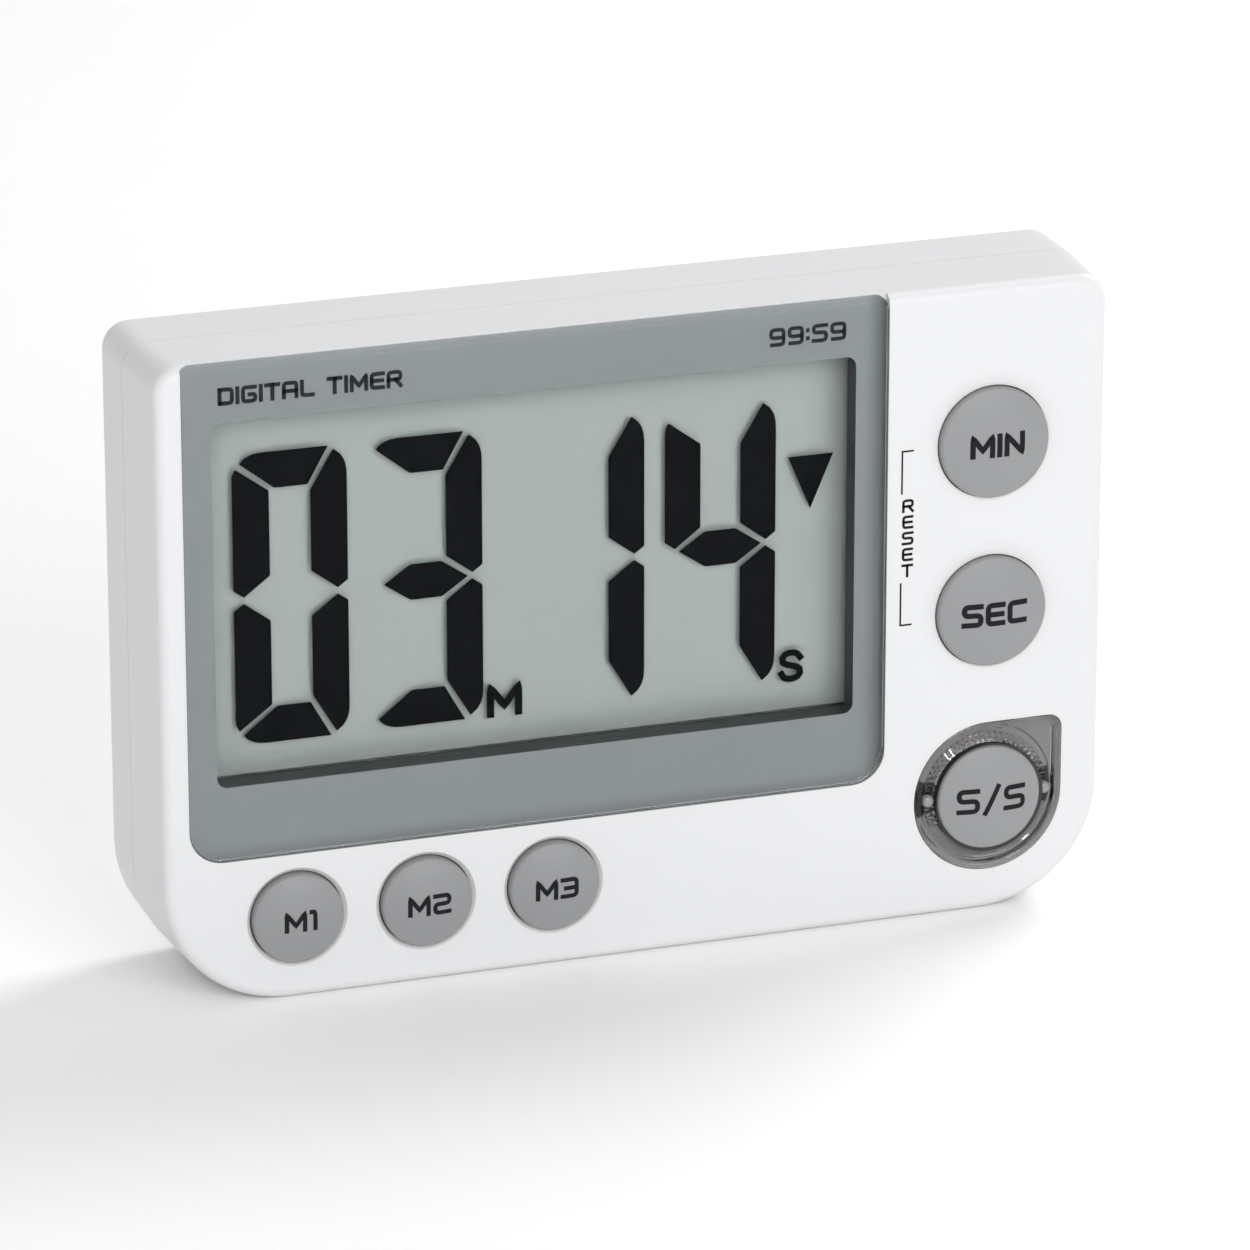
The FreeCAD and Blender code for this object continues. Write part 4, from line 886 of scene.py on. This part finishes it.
def build_sleeve_band():
    """Colour along a cell: a band at one end, the other colour over the rest."""
    group, source, result = group_with(
        "sleeve_band", {"Start": 0.0, "Side": 1.0}, {"Mask": "NodeSocketFloat"})
    nodes, link = group.nodes, group.links.new
    place = nodes.new("ShaderNodeTexCoord")
    split = nodes.new("ShaderNodeSeparateXYZ")
    link(place.outputs["Object"], split.inputs["Vector"])
    offset = nodes.new("ShaderNodeMath")
    offset.operation = "SUBTRACT"
    link(split.outputs["X"], offset.inputs[0])
    link(source.outputs["Start"], offset.inputs[1])
    signed = nodes.new("ShaderNodeMath")
    signed.operation = "MULTIPLY"
    link(offset.outputs[0], signed.inputs[0])
    link(source.outputs["Side"], signed.inputs[1])
    above = nodes.new("ShaderNodeMath")
    above.operation = "GREATER_THAN"
    above.inputs[1].default_value = 0.0
    link(signed.outputs[0], above.inputs[0])
    link(above.outputs[0], result.inputs["Mask"])
    return group


SLEEVE_BAND = build_sleeve_band()


def sleeve_material(name, start, side):
    """Printed plastic sleeve, dark grey with a pale band at the positive end."""
    material, tree, shader = new_nodes(name)
    link = tree.links.new
    band = placed(tree, SLEEVE_BAND, Start=start, Side=side)
    grain_node = placed(tree, MOULD_GRAIN, Scale=1200.0, Rough=0.3, Rough_Spread=0.1)
    tint = tree.nodes.new("ShaderNodeMix")
    tint.data_type = "RGBA"
    tint.inputs["A"].default_value = (0.05, 0.055, 0.065, 1.0)
    tint.inputs["B"].default_value = (0.5, 0.51, 0.53, 1.0)
    link(band.outputs["Mask"], tint.inputs["Factor"])
    link(tint.outputs["Result"], shader.inputs["Base Color"])
    link(grain_node.outputs["Roughness"], shader.inputs["Roughness"])
    shader.inputs["Coat Weight"].default_value = 0.4
    return material


BAND_WIDTH = 12.0 * MM
CELL_STEPS = 48
BUTTON_HEIGHT = 0.92 * MM
BUTTON_RADIUS = 2.2 * MM
for node, side in (("upper_cell", 1), ("lower_cell", -1)):
    low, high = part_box(node)
    end = high.x if side == 1 else low.x
    paint_node(node, sleeve_material(f"{node}_sleeve", end - side * BAND_WIDTH, side))
    y, z = (low.y + high.y) / 2, (low.z + high.z) / 2
    radius = (high.z - low.z) / 2
    for label, x, out, inner in (("plus", end - side * BUTTON_HEIGHT, side, BUTTON_RADIUS),
                                 ("minus", low.x + high.x - end, -side, 0.0)):
        mesh = bmesh.new()
        rings = []
        for reach, along in ((radius - 0.35 * MM, -0.02), (radius - 0.35 * MM, 0.03),
                             (radius - 0.9 * MM, 0.05), (radius - 1.3 * MM, 0.02),
                             (inner + 0.1 * MM, 0.02), (inner + 0.1 * MM, -0.02)):
            rings.append([mesh.verts.new((x + out * along * MM, py, pz))
                          for py, pz in circle(y, z, reach, CELL_STEPS)])
        turned_faces(mesh, rings + rings[:1])
        add_piece(f"{node}_{label}_end", mesh, "housing", NICKEL)

# ----------------------------------------------------------
# Mode knob: a small black slider with grip ribs, moved sideways in its slot with a nail.
# ----------------------------------------------------------
knob_low, knob_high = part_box("mode_knob")
KNOB_RIBS = 4
KNOB_VALLEY = 0.45 * MM


def build_knob():
    """A block whose outer face is cut into upright ribs."""
    mesh = bmesh.new()
    outer, valley = knob_high.y, knob_high.y - KNOB_VALLEY
    width = (knob_high.x - knob_low.x) / KNOB_RIBS
    line = [(knob_low.x, knob_low.y)]
    for i in range(KNOB_RIBS):
        x = knob_low.x + i * width
        line += [(x + 0.02 * MM, valley), (x + width * 0.22, outer - 0.06 * MM),
                 (x + width * 0.36, outer), (x + width * 0.64, outer),
                 (x + width * 0.78, outer - 0.06 * MM), (x + width - 0.02 * MM, valley)]
    line.append((knob_high.x, knob_low.y))
    low = [mesh.verts.new((x, y, knob_low.z)) for x, y in line]
    high = [mesh.verts.new((x, y, knob_high.z)) for x, y in line]
    mesh.faces.new(low)
    mesh.faces.new(high)
    for i, corner in enumerate(low):
        j = (i + 1) % len(low)
        mesh.faces.new((corner, low[j], high[j], high[i]))
    return mesh


knob = add_piece("mode_slider", build_knob(), "mode_knob", BLACK_PLASTIC,
                 smooth=False)
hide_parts("mode_knob")

# ----------------------------------------------------------
# Battery door marks: moulded grip ridges near its upper edge and an arrow that shows which
# way it opens.  They stand a little proud of the door, in the same plastic.
# ----------------------------------------------------------
door_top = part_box("battery_door")[1].z
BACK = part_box("rear_case")[1].y
SINK = 0.02 * MM
RIB_STEPS = 8


def soft_rib(mesh, reach, z, half, height):
    """A half-round rib along X on the back face, with tapered ends."""
    rows = []
    for x, scale in ((-reach, 0.15), (0.3 * MM - reach, 0.75), (0.8 * MM - reach, 1.0),
                     (reach - 0.8 * MM, 1.0), (reach - 0.3 * MM, 0.75), (reach, 0.15)):
        row = []
        for i in range(RIB_STEPS + 1):
            turn = math.pi * i / RIB_STEPS
            row.append(mesh.verts.new((x, BACK + height * scale * math.sin(turn) - SINK,
                                       z - half * scale * math.cos(turn))))
        rows.append(row)
    for a, b in zip(rows, rows[1:]):
        for i in range(RIB_STEPS):
            mesh.faces.new((a[i], a[i + 1], b[i + 1], b[i]))
        mesh.faces.new((a[-1], a[0], b[0], b[-1]))
    mesh.faces.new(rows[0])
    mesh.faces.new(rows[-1])


def build_door_marks():
    """Four grip ridges and an arrow that points down."""
    mesh = bmesh.new()
    for i in range(4):
        soft_rib(mesh, 7.0 * MM, door_top - (2.6 + 1.3 * i) * MM, 0.32 * MM, 0.3 * MM)
    base = door_top - 9.6 * MM
    plate(mesh, [(-2.4 * MM, base), (2.4 * MM, base), (0, base - 3.0 * MM)], BACK - SINK,
          BACK + 0.22 * MM)
    return mesh


add_piece("door_marks", build_door_marks(), "battery_door", WHITE_CASE)

# ----------------------------------------------------------
# Case screws: zinc-plated pan heads with a cross recess, deep in their wells at the back.
# ----------------------------------------------------------
screws_low, screws_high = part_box("case_screws")
SCREW_HEAD = 2.2 * MM
SCREW_HEAD_HEIGHT = 1.6 * MM
SCREW_HEAD_SIDE = 1.0 * MM
SCREW_DOME = 0.75 * MM
SCREW_SHANK = 1.0 * MM
CROSS_HALF = 0.34 * MM
CROSS_REACH = 1.35 * MM
CROSS_DEPTH = 0.95 * MM
CROSS_FLOOR = 0.55
LEFT_WELL_HEIGHT = 17.0 * MM
FOOT_WELL_SIDE = 28.48 * MM
HEAD_RINGS = [0.0, 0.15, 0.3, 0.34, 0.5, 0.7, 0.9, 1.1, 1.28, 1.35, 1.5, 1.75, 1.95, 2.1, 2.18]
wells = [(screws_high.x - SCREW_HEAD, screws_high.z - SCREW_HEAD),
         (screws_low.x + SCREW_HEAD, LEFT_WELL_HEIGHT),
         (FOOT_WELL_SIDE, screws_low.z + SCREW_HEAD)]


def build_screws():
    """Each head is a polar grid pressed in along a cross, on a plain shank."""
    mesh = bmesh.new()
    top = screws_high.y
    for x, z in wells:
        rings = []
        for radius in [r * MM for r in HEAD_RINGS]:
            ring = []
            for u, v in circle(0.0, 0.0, radius, KEY_STEPS):
                dome = SCREW_DOME * (radius / SCREW_HEAD) ** 3
                cut = min(abs(u), abs(v)) < CROSS_HALF and radius < CROSS_REACH
                depth = CROSS_DEPTH * (1 - CROSS_FLOOR * radius / CROSS_REACH) if cut else 0.0
                ring.append(mesh.verts.new((x + u, top - max(dome, depth), z + v)))
            rings.append(ring)
        for radius, y in ((SCREW_HEAD, top - SCREW_HEAD_SIDE),
                          (SCREW_HEAD, top - SCREW_HEAD_HEIGHT),
                          (SCREW_SHANK, top - SCREW_HEAD_HEIGHT), (SCREW_SHANK, screws_low.y),
                          (0.0, screws_low.y)):
            rings.append([mesh.verts.new((px, y, pz))
                          for px, pz in circle(x, z, radius, KEY_STEPS)])
        turned_faces(mesh, rings)
    return mesh


screws = add_piece("cross_screws", build_screws(), "housing", STEEL, smooth=False)
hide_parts("case_screws")

# ----------------------------------------------------------
# Stand and back wall: a row of grip ridges moulded on the foot of the stand, where a
# fingertip lifts it, and printed numbers for the two places of the mode switch.
# ----------------------------------------------------------
stand_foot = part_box("stand")[0].z


def build_foot_ribs():
    """Three short ridges across the foot of the stand."""
    mesh = bmesh.new()
    for i in range(3):
        soft_rib(mesh, 6.0 * MM, stand_foot + (1.4 + 1.35 * i) * MM, 0.3 * MM, 0.22 * MM)
    return mesh


add_piece("foot_ribs", build_foot_ribs(), "stand", WHITE_CASE)
SWITCH_Z = (knob_low.z + knob_high.z) / 2
for label, text, x in (("count_up", "1", -5.6 * MM), ("count_down", "2", 5.6 * MM)):
    printed(f"{label}_mark", text, (x, SWITCH_Z), 1.7 * MM, 0.32 * MM, flat_face(BACK),
            "housing", INK, facing=1)

# ----------------------------------------------------------
# Studio: a pale floor, a large soft light in front, smaller ones high at the right and left,
# and the camera, which looks down a little from in front and to the left of the timer.
# ----------------------------------------------------------
FLOOR_PALE = moulded_plastic("pale_backdrop", (0.94, 0.94, 0.942), rough=0.8, bump=0.0,
                             drift=0.01, specular=0.2)
FLOOR_HALF = 4.0
floor_mesh = bpy.data.meshes.new("floor")
floor_mesh.from_pydata([(-FLOOR_HALF, -FLOOR_HALF, 0), (FLOOR_HALF, -FLOOR_HALF, 0),
                        (FLOOR_HALF, FLOOR_HALF, 0), (-FLOOR_HALF, FLOOR_HALF, 0)], [],
                       [(0, 1, 2, 3)])
floor_mesh.materials.append(FLOOR_PALE)
floor = bpy.data.objects.new("floor", floor_mesh)
bpy.context.scene.collection.objects.link(floor)


def soft_light(name, place, target, width, height, power):
    """A rectangular area light aimed at a point."""
    data = bpy.data.lights.new(name, "AREA")
    data.shape = "RECTANGLE"
    data.size, data.size_y, data.energy = width, height, power
    light = bpy.data.objects.new(name, data)
    light.location = place
    light.rotation_euler = (Vector(target) - Vector(place)).to_track_quat("-Z", "Y").to_euler()
    bpy.context.scene.collection.objects.link(light)


middle = (0.0, 0.0, 0.04)
soft_light("front_softbox", (0.22, -1.15, 0.55), middle, 0.8, 0.6, 6.4)
soft_light("right_softbox", (0.6, 0.3, 0.6), middle, 0.35, 0.35, 3.6)
soft_light("left_strip", (-0.42, -0.95, 0.62), middle, 0.14, 0.14, 2.2)

WORLD_STRENGTH = 0.6
world = bpy.data.worlds.new("studio_air")
world.use_nodes = True
world.node_tree.nodes["Background"].inputs["Color"].default_value = (1.0, 1.0, 1.0, 1.0)
world.node_tree.nodes["Background"].inputs["Strength"].default_value = WORLD_STRENGTH
bpy.context.scene.world = world
bpy.context.scene.view_settings.view_transform = "Standard"

camera_data = bpy.data.cameras.new("camera")
camera_data.lens = 216.28
camera_data.sensor_width = 36.0
camera_data.clip_end = 20.0
camera = bpy.data.objects.new("camera", camera_data)
camera.location = (-0.2529, -0.7448, 0.3185)
camera.rotation_euler = (math.radians(70.223), 0.0, math.radians(-18.858))
bpy.context.scene.collection.objects.link(camera)
bpy.context.scene.camera = camera
